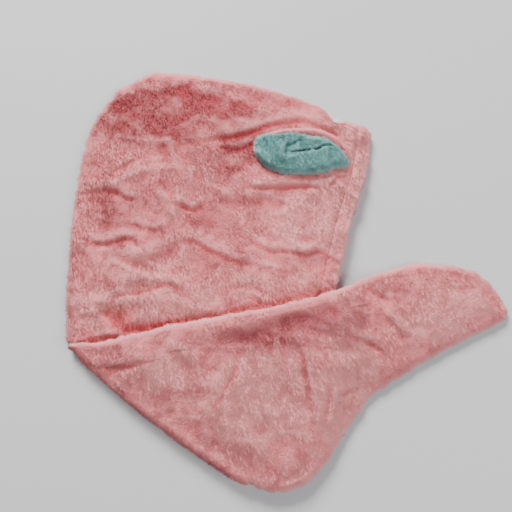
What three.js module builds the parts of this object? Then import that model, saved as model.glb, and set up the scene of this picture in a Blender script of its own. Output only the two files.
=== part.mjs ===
// A hair turban towel of plush fleece, lying flat: an open hood with its long tail folded over it, an ear and
// a button. Millimetres, +Z up. It lies on z = 0, its crown away from the viewer, the hood's opening on the right.

import * as THREE from "three";

// The two panels, which are cut alike and sewn together
const TOWEL_LENGTH = 650; // crown to the tail's tip, unfolded
const HOOD_WIDTH = 282; // back seam to opening edge
const CLOTH = 3; // one panel, pile included
const SEAM_GAP = 0.3; // between the panels along their seam
const EDGE_ROUND = 7; // how far in from a seam the plush rounds down to it
const EDGE_SHARE = 0.3; // share of the cloth's thickness that is left at its edge

// The opening edge, where the head goes in
const OPENING_LENGTH = 280; // from the nape down
const HEM_WIDTH = 13; // edge to line of stitches
const HEM_ROUND = 4;
const STITCH_DEPTH = 0.9;
const STITCH_WIDTH = 2.2;

// How the cloth lies
const HOOD_LOFT = 7.5; // height of the hollow inside the hood
const HOOD_RISE = 62; // distance from a seam in which the hollow opens
const MOUTH_LOFT = 5.6; // height of the hollow at the opening edge
const MOUTH_RISE = 55;
const TURN_RISE = 75; // distance from the fold in which the hollow opens
const TAIL_LOFT = 4;
const TAIL_RISE = 30;
const LAY_GAP = 0.8; // under what lies on the hood
const TAIL_DROP = 42; // distance past the hood in which the tail comes down
const TAIL_PRESS = 0.5; // share of the hood's hollow that the tail's weight leaves under it
const FOLD_BOW = 5; // how far the fold bulges out in its middle
const FOLD_BOW_REACH = 50; // how far in from the fold the bulge fades out
const CREASE_HEIGHT = 3;
const CREASE_CLEAR = 14; // creases fade out this far from the ear and the tail

// The ear
const EAR_LENGTH = 90;
const EAR_WIDTH = 43;
const EAR_TURN = 171; // degrees from +X to the way that the ear points
const EAR_CLOTH = 2.4;
const EAR_PUFF = 2.6; // extra height in the middle of the lining
const EAR_RIM = 3.4; // height of the rolled rim over the back
const EAR_EDGE_ROUND = 2; // how far in from the ear's edge its pile rounds down
const EAR_PLEAT = 2.2; // depth of the pleat at the base
const PIECE_GAP = 0.35;

// The button
const BUTTON_DIAMETER = 20;
const BUTTON_THICKNESS = 2.4;
const BUTTON_BEVEL = 0.5;
const BUTTON_HOLE = 2.4;
const BUTTON_HOLES = 4;
const BUTTON_HOLE_REACH = 3.2; // centre of the button to the centre of a hole
const HOLE_SIDES = 8;
const BUTTON_CURVE_STEPS = 11;
const BUTTON_REACH = 3; // how far its rim shows past the crown seam
const BUTTON_FROM_NAPE = 32; // along the crown seam
const BUTTON_ROOM = 8; // width of the flat place over the button, past its rim
const BUTTON_RISE = 24; // width of the slope around that place

// How finely the cloth is divided
const STEPS_PER_SECTION = 3;
const TURN_STEPS = 6;
const MIDDLE_COLUMNS = 7;
const BACK_EDGE_STEPS = [0, 2, 6, 14, 26, 42];
const FRONT_EDGE_STEPS = [0, 2.5, HEM_WIDTH - 2, HEM_WIDTH, HEM_WIDTH + 2, 27, 39, 51];
const NARROW_SHARE = 0.42; // most of a narrow section's width that the front edge steps take
const EDGE_POINTS = 60; // in each stretch of edge that distances are measured from
const END_STEPS = [0, 0.07, 0.22, 0.55]; // shares of the first section at a rounded end

// Sections across the hood, from the crown to the fold: x is a share of HOOD_WIDTH from the leftmost point,
// y is a share of TOWEL_LENGTH down from the crown
const HOOD_SECTIONS = [
  { backX: 0.136, backY: 0.027, frontX: 0.999, frontY: 0.1 },
  { backX: 0.061, backY: 0.078, frontX: 0.987, frontY: 0.134 },
  { backX: 0.032, backY: 0.123, frontX: 0.972, frontY: 0.165 },
  { backX: 0.017, backY: 0.172, frontX: 0.952, frontY: 0.192 },
  { backX: 0.008, backY: 0.227, frontX: 0.921, frontY: 0.232 },
  { backX: 0.004, backY: 0.283, frontX: 0.889, frontY: 0.281 },
  { backX: 0.007, backY: 0.345, frontX: 0.85, frontY: 0.351 },
  { backX: 0.012, backY: 0.37, frontX: 0.791, frontY: 0.454 },
  { backX: 0.015, backY: 0.386, frontX: 0.727, frontY: 0.553 },
  { backX: 0.019, backY: 0.398, frontX: 0.592, frontY: 0.58 },
];

// Sections across the tail, from the fold to the tip, as they lie before the tail is folded over
const TAIL_SECTIONS = [
  { backX: 0.036, backY: 0.442, frontX: 0.63, frontY: 0.632 },
  { backX: 0.057, backY: 0.502, frontX: 0.604, frontY: 0.679 },
  { backX: 0.071, backY: 0.568, frontX: 0.546, frontY: 0.717 },
  { backX: 0.091, backY: 0.634, frontX: 0.484, frontY: 0.753 },
  { backX: 0.11, backY: 0.705, frontX: 0.442, frontY: 0.783 },
  { backX: 0.117, backY: 0.774, frontX: 0.418, frontY: 0.827 },
  { backX: 0.103, backY: 0.843, frontX: 0.396, frontY: 0.871 },
  { backX: 0.11, backY: 0.901, frontX: 0.377, frontY: 0.925 },
  { backX: 0.157, backY: 0.954, frontX: 0.356, frontY: 0.99 },
];

// How far the crown and the tip swell past their first and last section: at is a share of that section,
// rise a share of HOOD_WIDTH
const CROWN_SWELL = [
  { at: 0, rise: 0 },
  { at: 0.04, rise: 0.027 },
  { at: 0.08, rise: 0.057 },
  { at: 0.12, rise: 0.084 },
  { at: 0.17, rise: 0.092 },
  { at: 0.3, rise: 0.098 },
  { at: 0.5, rise: 0.103 },
  { at: 0.61, rise: 0.093 },
  { at: 0.71, rise: 0.081 },
  { at: 0.81, rise: 0.054 },
  { at: 0.855, rise: 0.031 },
  { at: 0.91, rise: 0.03 },
  { at: 0.965, rise: 0.02 },
  { at: 1, rise: 0 },
];
const TIP_SWELL = [
  { at: 0, rise: 0 },
  { at: 0.23, rise: 0.029 },
  { at: 0.5, rise: 0.038 },
  { at: 0.75, rise: 0.031 },
  { at: 0.92, rise: 0.02 },
  { at: 1, rise: 0 },
];

// Creases of the hood, where they lie: x and y are shares of HOOD_WIDTH and TOWEL_LENGTH as in the sections,
// bend is how far the middle sags (a share of the crease's own length), width a share of HOOD_WIDTH and
// height a share of CREASE_HEIGHT
const HOOD_CREASES = [
  { x1: 0.14, y1: 0.165, x2: 0.26, y2: 0.14, bend: -0.05, width: 0.035, height: 0.6 },
  { x1: 0.38, y1: 0.13, x2: 0.6, y2: 0.102, bend: 0.05, width: 0.04, height: 0.55 },
  { x1: 0.62, y1: 0.086, x2: 0.86, y2: 0.082, bend: -0.1, width: 0.03, height: -0.35 },
  { x1: 0.1, y1: 0.187, x2: 0.25, y2: 0.214, bend: -0.05, width: 0.035, height: 0.5 },
  { x1: 0.3, y1: 0.207, x2: 0.44, y2: 0.226, bend: 0, width: 0.04, height: -0.45 },
  { x1: 0.5, y1: 0.197, x2: 0.84, y2: 0.192, bend: -0.04, width: 0.035, height: 0.6 },
  { x1: 0.42, y1: 0.226, x2: 0.66, y2: 0.212, bend: 0, width: 0.045, height: 0.4 },
  { x1: 0.57, y1: 0.262, x2: 0.83, y2: 0.286, bend: 0.07, width: 0.035, height: 0.8 },
  { x1: 0.76, y1: 0.283, x2: 0.88, y2: 0.304, bend: 0, width: 0.035, height: -0.45 },
  { x1: 0.42, y1: 0.276, x2: 0.64, y2: 0.306, bend: -0.03, width: 0.035, height: 0.7 },
  { x1: 0.04, y1: 0.266, x2: 0.22, y2: 0.272, bend: -0.04, width: 0.035, height: 0.5 },
  { x1: 0.17, y1: 0.236, x2: 0.31, y2: 0.254, bend: 0, width: 0.035, height: -0.4 },
  { x1: 0.16, y1: 0.302, x2: 0.39, y2: 0.268, bend: 0.06, width: 0.05, height: 0.6 },
  { x1: 0.12, y1: 0.352, x2: 0.5, y2: 0.357, bend: -0.12, width: 0.05, height: 0.7 },
  { x1: 0.35, y1: 0.04, x2: 0.35, y2: 0.16, bend: 0.06, width: 0.06, height: -0.5 },
];

// Creases of the tail's upper layer, as it lies folded
const TAIL_CREASES = [
  { x1: 0.56, y1: 0.412, x2: 0.46, y2: 0.512, bend: -0.05, width: 0.045, height: 0.7 },
  { x1: 0.685, y1: 0.39, x2: 0.7, y2: 0.455, bend: 0, width: 0.04, height: -0.5 },
  { x1: 0.745, y1: 0.41, x2: 0.78, y2: 0.525, bend: 0.04, width: 0.035, height: 0.8 },
  { x1: 0.835, y1: 0.455, x2: 0.805, y2: 0.525, bend: 0, width: 0.03, height: -0.7 },
  { x1: 0.85, y1: 0.476, x2: 0.93, y2: 0.462, bend: 0, width: 0.03, height: 0.5 },
  { x1: 0.87, y1: 0.397, x2: 1, y2: 0.418, bend: 0, width: 0.04, height: 0.6 },
  { x1: 1, y1: 0.366, x2: 1.075, y2: 0.406, bend: 0, width: 0.035, height: -0.6 },
  { x1: 0.12, y1: 0.436, x2: 0.26, y2: 0.434, bend: 0, width: 0.035, height: -0.5 },
  { x1: 0.68, y1: 0.48, x2: 0.655, y2: 0.56, bend: 0, width: 0.06, height: 0.6 },
  { x1: 0.3, y1: 0.43, x2: 0.36, y2: 0.48, bend: 0.05, width: 0.06, height: 0.4 },
];

// The ear's outline along its length, from its base to its round end: half is a share of EAR_WIDTH
const EAR_SECTIONS = [
  { at: 0, half: 0.1 },
  { at: 0.05, half: 0.19 },
  { at: 0.12, half: 0.29 },
  { at: 0.25, half: 0.41 },
  { at: 0.4, half: 0.48 },
  { at: 0.56, half: 0.5 },
  { at: 0.72, half: 0.46 },
  { at: 0.85, half: 0.37 },
  { at: 0.94, half: 0.25 },
  { at: 1, half: 0.09 },
];
const EAR_BASE = { x: 0.917, y: 0.148 }; // shares of HOOD_WIDTH and TOWEL_LENGTH
const EAR_STEPS = 13;
const EAR_ACROSS = [-1, -0.92, -0.7, -0.35, 0, 0.16, 0.32, 0.48, 0.64, 0.8, 0.86, 0.94, 1];
const EAR_LINING_LEFT = 0.98; // share of the half width that the lining reaches away from the crown
const EAR_LINING_RIGHT = 0.78; // and on the crown's side, where the back's rim shows
const EAR_RIM_START = 0.82;
const EAR_RIM_ENDS = { base: 0.1, tip: 0.95 }; // shares of a half circle between which the rim rises
const EAR_LINING_ENDS = { from: 0.03, to: 0.97 }; // shares of the ear's length
const PLEAT = { at: 0.24, width: 0.16, reach: 0.66 }; // shares of the half width, reach one of the length

const FLEECE_PINK = new THREE.MeshStandardMaterial({ color: "#dca3a6", roughness: 0.95, metalness: 0 });
const FLEECE_MINT = new THREE.MeshStandardMaterial({ color: "#8dbfb4", roughness: 0.95, metalness: 0 });
const BUTTON_WHITE = new THREE.MeshStandardMaterial({ color: "#e9edf0", roughness: 0.25, metalness: 0 });

const lerp = THREE.MathUtils.lerp;
const smooth = (x) => THREE.MathUtils.smoothstep(x, 0, 1);

/** A place on the towel from its shares of the two driving sizes. */
function place(x, y) {
  return new THREE.Vector2(x * HOOD_WIDTH, -y * TOWEL_LENGTH);
}

/** A smooth curve through a list of points, read at a whole or broken index. */
function along(points, index) {
  const last = points.length - 1;
  const i = Math.min(Math.floor(index), last - 1);
  const f = index - i;
  const [a, b, c, d] = [-1, 0, 1, 2].map((k) => points[THREE.MathUtils.clamp(i + k, 0, last)]);
  const blend = (key) => {
    const out = (c[key] - a[key]) / 2;
    const into = (d[key] - b[key]) / 2;
    const rise = b[key] - c[key];
    return b[key] + f * (out + f * (-3 * rise - 2 * out - into + f * (2 * rise + out + into)));
  };
  return new THREE.Vector2(blend("x"), blend("y"));
}

/** The value of a table's column, on a smooth curve, where its first column reaches a given share. */
function readTable(table, share, key) {
  const next = Math.max(1, table.findIndex((row) => row.at >= share));
  const [a, b] = [table[next - 1].at, table[next].at];
  const points = table.map((row) => ({ x: row.at, y: row[key] }));
  return along(points, next - 1 + (share - a) / (b - a)).y;
}

/** The nearest point of a line of points to a place, its distance, and 1 if the place is right of the line. */
function nearest(line, spot) {
  let best = { distance: Infinity };
  for (let i = 0; i + 1 < line.length; i += 1) {
    const run = line[i + 1].clone().sub(line[i]);
    const off = spot.clone().sub(line[i]);
    const share = THREE.MathUtils.clamp(off.dot(run) / run.lengthSq(), 0, 1);
    const point = line[i].clone().addScaledVector(run, share);
    const distance = point.distanceTo(spot);
    if (distance < best.distance) {
      best = { distance, point, side: Math.sign(off.cross(run)) };
    }
  }
  return best;
}

// The fold: the tail turns over the last hood section's line, and starts where the turn ends
const turnRadius = CLOTH + SEAM_GAP / 2 + LAY_GAP / 2;
const turnLength = Math.PI * turnRadius;
const hoodBack = HOOD_SECTIONS.map((row) => place(row.backX, row.backY));
const hoodFront = HOOD_SECTIONS.map((row) => place(row.frontX, row.frontY));
const foldBack = hoodBack.at(-1);
const foldFront = hoodFront.at(-1);
const foldRun = foldFront.clone().sub(foldBack).normalize();
const foldOut = new THREE.Vector2(foldRun.y, -foldRun.x);
const turnShift = foldOut.clone().multiplyScalar(turnLength);
const tailBack = TAIL_SECTIONS.map((row) => place(row.backX, row.backY));
const tailFront = TAIL_SECTIONS.map((row) => place(row.frontX, row.frontY));
tailBack.unshift(foldBack.clone().add(turnShift));
tailFront.unshift(foldFront.clone().add(turnShift));

/** How far a place on the unfolded towel is past the fold line. */
function pastFold(spot) {
  return spot.clone().sub(foldBack).dot(foldOut);
}

/** Where a place of the tail lies once the tail is folded over. */
function folded(spot) {
  return spot.clone().addScaledVector(foldOut, turnLength - 2 * pastFold(spot));
}

/** A point of the unfolded towel, on the section between its two edges; the crown and the tip swell out. */
function clothPoint(back, front, index, share, swell) {
  const a = along(back, index);
  const b = along(front, index);
  const spot = a.clone().lerp(b, share);
  const run = front[swell.section].clone().sub(back[swell.section]).normalize();
  const out = new THREE.Vector2(-run.y, run.x).multiplyScalar(swell.way);
  const fade = Math.max(0, 1 - Math.abs(index - swell.section)) ** 2;
  return spot.addScaledVector(out, readTable(swell.table, share, "rise") * HOOD_WIDTH * fade);
}

const CROWN_END = { table: CROWN_SWELL, section: 0, way: 1 };
const TIP_END = { table: TIP_SWELL, section: tailBack.length - 1, way: -1 };
const hoodPoint = (index, share) => clothPoint(hoodBack, hoodFront, index, share, CROWN_END);
const tailPoint = (index, share) => clothPoint(tailBack, tailFront, index, share, TIP_END);

/** Points along an edge of the towel, close enough together to measure distances from. */
function edgeLine(from, to, count, point) {
  return Array.from({ length: count + 1 }, (_, k) => point(lerp(from, to, k / count)));
}

const lastHood = hoodBack.length - 1;
const lastTail = tailBack.length - 1;
const frontEdge = edgeLine(0, lastHood, EDGE_POINTS, (s) => hoodPoint(s, 1));
const edgeLengths = frontEdge.map((_, k) => {
  const walked = frontEdge.slice(1, k + 1);
  return walked.reduce((sum, spot, m) => sum + spot.distanceTo(frontEdge[m]), 0);
});
const openingEnd = edgeLengths.findIndex((length) => length > OPENING_LENGTH);
const mouthLine = frontEdge.slice(0, openingEnd);
const frontSeam = [
  ...frontEdge.slice(openingEnd - 1),
  ...edgeLine(0, lastTail, EDGE_POINTS, (s) => tailPoint(s, 1)),
];
const crownSeam = edgeLine(1, 0, EDGE_POINTS, (t) => hoodPoint(0, t));
const otherSeam = [
  ...crownSeam,
  ...edgeLine(0, lastHood, EDGE_POINTS, (s) => hoodPoint(s, 0)),
  ...edgeLine(0, lastTail, EDGE_POINTS, (s) => tailPoint(s, 0)),
  ...edgeLine(0, 1, EDGE_POINTS, (t) => tailPoint(lastTail, t)),
];
const tailUpperEdge = edgeLine(0, lastTail, EDGE_POINTS, (s) => folded(tailPoint(s, 0)));

/** Distance from a place on the unfolded towel to the nearest sewn edge. */
function seamDistance(spot) {
  return Math.min(nearest(frontSeam, spot).distance, nearest(otherSeam, spot).distance);
}

// The button lies under the crown seam near the nape, and the hood rests on it
const buttonAcross = BUTTON_FROM_NAPE / crownSeam.at(0).distanceTo(crownSeam.at(-1));
const buttonSeamPoint = hoodPoint(0, 1 - buttonAcross);
const crownRun = hoodFront[0].clone().sub(hoodBack[0]).normalize();
const crownIn = new THREE.Vector2(crownRun.y, -crownRun.x);
const buttonSpot = buttonSeamPoint.clone().addScaledVector(crownIn, BUTTON_DIAMETER / 2 - BUTTON_REACH);

/** How far the hood is lifted by the button under it. */
function lift(spot) {
  const past = spot.distanceTo(buttonSpot) - BUTTON_DIAMETER / 2 - BUTTON_ROOM;
  return (BUTTON_THICKNESS + LAY_GAP) * (1 - smooth(past / BUTTON_RISE));
}

// The ear's own directions: along from its base to its end, and across towards the crown
const earBase = place(EAR_BASE.x, EAR_BASE.y);
const earTurn = THREE.MathUtils.degToRad(EAR_TURN);
const earAlong = new THREE.Vector2(Math.cos(earTurn), Math.sin(earTurn));
const earAcross = new THREE.Vector2(earAlong.y, -earAlong.x);

/** A place on the hood under the ear: at is a share of its length, side a share of its width there. */
function earSpot(at, side) {
  const half = readTable(EAR_SECTIONS, at, "half") * EAR_WIDTH;
  return earBase.clone().addScaledVector(earAlong, at * EAR_LENGTH).addScaledVector(earAcross, side * half);
}

/** 0 under the ear and within a pile's width of it, rising to 1 away from it. */
function clearOfEar(spot) {
  const middle = earBase.clone().addScaledVector(earAlong, EAR_LENGTH / 2);
  const off = spot.clone().sub(middle);
  const [u, v] = [off.dot(earAlong), off.dot(earAcross)];
  const reach = Math.hypot(u / (EAR_LENGTH / 2 + CREASE_CLEAR), v / (EAR_WIDTH / 2 + CREASE_CLEAR));
  return smooth((reach - 1) * EAR_WIDTH / (2 * CREASE_CLEAR));
}

/** The height that a table's creases give the cloth at a place. */
function creaseHeight(table, spot) {
  let height = 0;
  for (const row of table) {
    const a = place(row.x1, row.y1);
    const b = place(row.x2, row.y2);
    const run = b.clone().sub(a);
    const off = spot.clone().sub(a);
    const share = THREE.MathUtils.clamp(off.dot(run) / run.lengthSq(), 0, 1);
    const sag = new THREE.Vector2(run.y, -run.x).multiplyScalar(row.bend * 4 * share * (1 - share));
    const distance = a.addScaledVector(run, share).add(sag).distanceTo(spot);
    height += row.height * CREASE_HEIGHT * Math.exp(-((distance / (row.width * HOOD_WIDTH)) ** 2));
  }
  return height;
}

/** The hollow between the hood's panels at a place, with the upper panel's creases. */
function hoodHollow(spot) {
  const open = smooth(seamDistance(spot) / HOOD_RISE) * smooth(-pastFold(spot) / TURN_RISE);
  const mouth = smooth(nearest(mouthLine, spot).distance / MOUTH_RISE);
  const tail = nearest(tailUpperEdge, spot);
  const bare = tail.side > 0 ? 0 : smooth(tail.distance / CREASE_CLEAR);
  const pressed = tail.side > 0 ? smooth(tail.distance / TAIL_DROP) : 0;
  const creases = creaseHeight(HOOD_CREASES, spot) * bare * clearOfEar(spot);
  return open * (lerp(MOUTH_LOFT, HOOD_LOFT, mouth) * lerp(1, TAIL_PRESS, pressed) + creases);
}

/** Height of the hood's upper face at a place, before its edges are rounded. */
function hoodTop(spot) {
  return lift(spot) + 2 * CLOTH + SEAM_GAP + hoodHollow(spot);
}

/** Height of the tail's under face: it lies on the hood and comes down to the surface past its front edge. */
function tailRest(spot) {
  const edge = nearest(frontEdge, spot);
  if (edge.side >= 0) {
    return hoodTop(spot) + LAY_GAP;
  }
  return (hoodTop(edge.point) + LAY_GAP) * (1 - smooth((edge.distance - EDGE_ROUND / 2) / TAIL_DROP));
}

/** The hollow between the tail's layers at a place of the unfolded towel, with the top layer's creases. */
function tailHollow(spot) {
  const open = smooth(seamDistance(spot) / TAIL_RISE) * smooth((pastFold(spot) - turnLength) / TAIL_RISE);
  return open * Math.max(0, TAIL_LOFT + creaseHeight(TAIL_CREASES, folded(spot)));
}

/** Share of the full thickness at a distance from an edge that is rounded. */
function rounded(distance, radius) {
  const q = Math.min(1, distance / radius);
  return lerp(EDGE_SHARE, 1, Math.sqrt(q * (2 - q)));
}

/** How much each face of the hem draws in: its round edge, and the outer face's groove of stitches. */
function hemLoss(spot) {
  const distance = nearest(mouthLine, spot).distance;
  const edge = (CLOTH * (1 - rounded(distance, HEM_ROUND))) / 2;
  const groove = STITCH_DEPTH * Math.exp(-(((distance - HEM_WIDTH) / STITCH_WIDTH) ** 2));
  return { edge, groove };
}

/** A point with the fold's bulge: what lies near the fold moves out with it, every layer alike. */
function bulged(flat, height) {
  const off = flat.clone().sub(foldBack);
  const share = THREE.MathUtils.clamp(off.dot(foldRun) / foldBack.distanceTo(foldFront), 0, 1);
  const fade = 1 - smooth(-off.dot(foldOut) / FOLD_BOW_REACH);
  const spot = flat.clone().addScaledVector(foldOut, FOLD_BOW * fade * Math.sin(Math.PI * share));
  return new THREE.Vector3(spot.x, spot.y, height);
}

/** The four faces of the two panels above one place of the hood. */
function hoodFaces(spot) {
  const thick = CLOTH * rounded(seamDistance(spot), EDGE_ROUND);
  const hem = hemLoss(spot);
  const inner = lift(spot) + CLOTH;
  const hollow = hoodHollow(spot);
  const point = (z) => bulged(spot, z);
  return {
    lowerOuter: point(inner - thick + hem.edge + hem.groove),
    lowerInner: point(inner - hem.edge),
    upperInner: point(inner + SEAM_GAP + hollow + hem.edge),
    upperOuter: point(inner + SEAM_GAP + hollow + thick - hem.edge - hem.groove),
  };
}

/** The four faces where the towel turns over: each goes round the fold's axis at its own radius. */
function turnFaces(spot, angle) {
  const thick = CLOTH * rounded(seamDistance(spot), EDGE_ROUND);
  const start = spot.clone().addScaledVector(foldOut, -pastFold(spot));
  const point = (radius) => {
    const flat = start.clone().addScaledVector(foldOut, radius * Math.sin(angle));
    return bulged(flat, CLOTH + SEAM_GAP / 2 + turnRadius - radius * Math.cos(angle));
  };
  return {
    lowerOuter: point(turnRadius + SEAM_GAP / 2 + thick),
    lowerInner: point(turnRadius + SEAM_GAP / 2),
    upperInner: point(turnRadius - SEAM_GAP / 2),
    upperOuter: point(turnRadius - SEAM_GAP / 2 - thick),
  };
}

/** The four faces above one place of the folded tail, where the panels have changed places. */
function tailFaces(spot) {
  const thick = CLOTH * rounded(seamDistance(spot), EDGE_ROUND);
  const lying = folded(spot);
  const inner = tailRest(lying) + CLOTH;
  const outer = inner + SEAM_GAP + tailHollow(spot);
  const point = (z) => bulged(lying, z);
  return {
    upperOuter: point(inner - thick),
    upperInner: point(inner),
    lowerInner: point(outer),
    lowerOuter: point(outer + thick),
  };
}

/** Shares across a section of a given width: fixed steps in from both edges, even ones between. */
function columnShares(width) {
  const squeeze = Math.min(1, (width * NARROW_SHARE) / FRONT_EDGE_STEPS.at(-1));
  const back = BACK_EDGE_STEPS.map((step) => (step * squeeze) / width);
  const front = FRONT_EDGE_STEPS.map((step) => 1 - (step * squeeze) / width).reverse();
  const middle = Array.from({ length: MIDDLE_COLUMNS - 1 }, (_, k) =>
    lerp(back.at(-1), front[0], (k + 1) / MIDDLE_COLUMNS),
  );
  return [...back, ...middle, ...front];
}

/** One row of the towel's faces: every column of a section. */
function sectionFaces(back, front, point, faces) {
  return columnShares(back.distanceTo(front)).map((share) => faces(point(share)));
}

/** Indices through a part of the towel, with closer ones at an end that is rounded. */
function sectionIndices(last) {
  const count = (last - 1) * STEPS_PER_SECTION + 1;
  const even = Array.from({ length: count }, (_, k) => 1 + k / STEPS_PER_SECTION);
  return [...END_STEPS, ...even];
}

const hoodRows = sectionIndices(lastHood).map((s) =>
  sectionFaces(along(hoodBack, s), along(hoodFront, s), (t) => hoodPoint(s, t), hoodFaces),
);
const turnRows = Array.from({ length: TURN_STEPS - 1 }, (_, k) => (k + 1) / TURN_STEPS).map((share) => {
  const shift = foldOut.clone().multiplyScalar(share * turnLength);
  const point = (t) => hoodPoint(lastHood, t).add(shift);
  return sectionFaces(foldBack, foldFront, point, (spot) => turnFaces(spot, share * Math.PI));
});
const tailRows = sectionIndices(lastTail)
  .map((s) => lastTail - s)
  .reverse()
  .map((s) => sectionFaces(along(tailBack, s), along(tailFront, s), (t) => tailPoint(s, t), tailFaces));
const towelRows = [...hoodRows, ...turnRows, ...tailRows];

/** A closed solid between two grids of points. The first faces up where the rows run towards the viewer. */
function slab(over, under) {
  const columns = over[0].length;
  const last = columns - 1;
  const points = [...over.flat(), ...under.flat()].flatMap((p) => p.toArray());
  const at = (side, i, j) => (side * over.length + i) * columns + j;
  const faces = [];
  const quad = (a, b, c, d) => faces.push(a, b, c, a, c, d);
  for (let i = 0; i + 1 < over.length; i += 1) {
    for (let j = 0; j + 1 < columns; j += 1) {
      quad(at(0, i, j), at(0, i + 1, j), at(0, i + 1, j + 1), at(0, i, j + 1));
      quad(at(1, i, j), at(1, i, j + 1), at(1, i + 1, j + 1), at(1, i + 1, j));
    }
    quad(at(0, i, 0), at(1, i, 0), at(1, i + 1, 0), at(0, i + 1, 0));
    quad(at(0, i, last), at(0, i + 1, last), at(1, i + 1, last), at(1, i, last));
  }
  const end = over.length - 1;
  for (let j = 0; j + 1 < columns; j += 1) {
    quad(at(0, 0, j), at(0, 0, j + 1), at(1, 0, j + 1), at(1, 0, j));
    quad(at(0, end, j), at(1, end, j), at(1, end, j + 1), at(0, end, j + 1));
  }
  const geometry = new THREE.BufferGeometry();
  geometry.setAttribute("position", new THREE.Float32BufferAttribute(points, 3));
  geometry.setIndex(faces);
  geometry.computeVertexNormals();
  return geometry;
}

/** One panel of the towel from two of its faces. */
function panel(over, under) {
  const pick = (key) => towelRows.map((row) => row.map((faces) => faces[key]));
  return slab(pick(over), pick(under));
}

/** The ear's back: flat on the hood, with the rim on the crown's side rolled up around the lining. */
function earBack() {
  const grid = (height) => earGrid({ from: 0, to: 1 }, -1, 1, height);
  const under = grid(() => 0);
  const over = grid((at, side) => {
    const half = readTable(EAR_SECTIONS, at, "half") * EAR_WIDTH;
    const edge = rounded((1 - Math.abs(side)) * half, EAR_EDGE_ROUND);
    const turn = Math.PI * lerp(EAR_RIM_ENDS.base, EAR_RIM_ENDS.tip, at);
    const rim = side > EAR_RIM_START ? EAR_RIM * Math.sin(turn) : 0;
    return (EAR_CLOTH + rim) * edge;
  });
  return slab(over, under);
}

/** The ear's lining: padded, with the pleat running in from the base. */
function earLining() {
  const grid = (height) => earGrid(EAR_LINING_ENDS, -EAR_LINING_LEFT, EAR_LINING_RIGHT, height);
  const under = grid(() => EAR_CLOTH + PIECE_GAP);
  const over = grid((at, side) => {
    const across = (side + EAR_LINING_LEFT) / (EAR_LINING_LEFT + EAR_LINING_RIGHT);
    const puff = Math.sqrt(Math.max(0, 4 * across * (1 - across)));
    const fade = 1 - smooth((at - PLEAT.reach / 2) / (PLEAT.reach / 2));
    const pleat = EAR_PLEAT * fade * Math.exp(-(((side - PLEAT.at) / PLEAT.width) ** 2));
    const padded = EAR_CLOTH * lerp(EDGE_SHARE, 1, puff) + EAR_PUFF * puff ** 2;
    return EAR_CLOTH + PIECE_GAP + padded - pleat * puff;
  });
  return slab(over, under);
}

/** A grid of points over the ear's outline, at heights over the hood's upper face. */
function earGrid(ends, low, high, height) {
  return Array.from({ length: EAR_STEPS + 1 }, (_, i) => {
    const at = lerp(ends.from, ends.to, (1 - Math.cos((Math.PI * i) / EAR_STEPS)) / 2);
    return EAR_ACROSS.map((_, j) => {
      const side = lerp(low, high, (EAR_ACROSS[EAR_ACROSS.length - 1 - j] + 1) / 2);
      const spot = earSpot(at, side);
      return new THREE.Vector3(spot.x, spot.y, hoodTop(spot) + LAY_GAP + height(at, side));
    });
  });
}

/** The button: a round disc with a soft edge and four holes. */
function button() {
  const outline = new THREE.Shape();
  outline.absarc(0, 0, BUTTON_DIAMETER / 2 - BUTTON_BEVEL, 0, 2 * Math.PI);
  for (let k = 0; k < BUTTON_HOLES; k += 1) {
    const angle = (2 * Math.PI * (k + 0.5)) / BUTTON_HOLES;
    const middle = new THREE.Vector2(Math.cos(angle), Math.sin(angle)).multiplyScalar(BUTTON_HOLE_REACH);
    const corners = Array.from({ length: HOLE_SIDES }, (_, m) => {
      const turn = (-2 * Math.PI * m) / HOLE_SIDES;
      const radius = BUTTON_HOLE / 2 + BUTTON_BEVEL;
      return new THREE.Vector2(Math.cos(turn), Math.sin(turn)).multiplyScalar(radius).add(middle);
    });
    outline.holes.push(new THREE.Path(corners));
  }
  const geometry = new THREE.ExtrudeGeometry(outline, {
    depth: BUTTON_THICKNESS - 2 * BUTTON_BEVEL,
    bevelThickness: BUTTON_BEVEL,
    bevelSize: BUTTON_BEVEL,
    bevelSegments: 1,
    curveSegments: BUTTON_CURVE_STEPS,
  });
  return geometry.translate(0, 0, BUTTON_BEVEL);
}

/** A named piece of the towel. */
function piece(name, geometry, material) {
  const mesh = new THREE.Mesh(geometry, material);
  mesh.name = name;
  return mesh;
}

const buttonMesh = piece("button", button(), BUTTON_WHITE);
buttonMesh.position.set(buttonSpot.x, buttonSpot.y, 0);

const laid = new THREE.Group();
laid.add(
  piece("upper_panel", panel("upperOuter", "upperInner"), FLEECE_PINK),
  piece("lower_panel", panel("lowerInner", "lowerOuter"), FLEECE_PINK),
  piece("ear_back", earBack(), FLEECE_PINK),
  piece("ear_lining", earLining(), FLEECE_MINT),
  buttonMesh,
);

// The origin is the middle of the towel's footprint, on the surface that it lies on
const box = new THREE.Box3().setFromObject(laid);
laid.position.set(-(box.min.x + box.max.x) / 2, -(box.min.y + box.max.y) / 2, -box.min.z);

const towel = new THREE.Group();
towel.add(laid);

export default towel;
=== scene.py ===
"""The looks of a hair turban towel that lies folded: fleece panels, their pile, the ear and the button."""

import math

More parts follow.
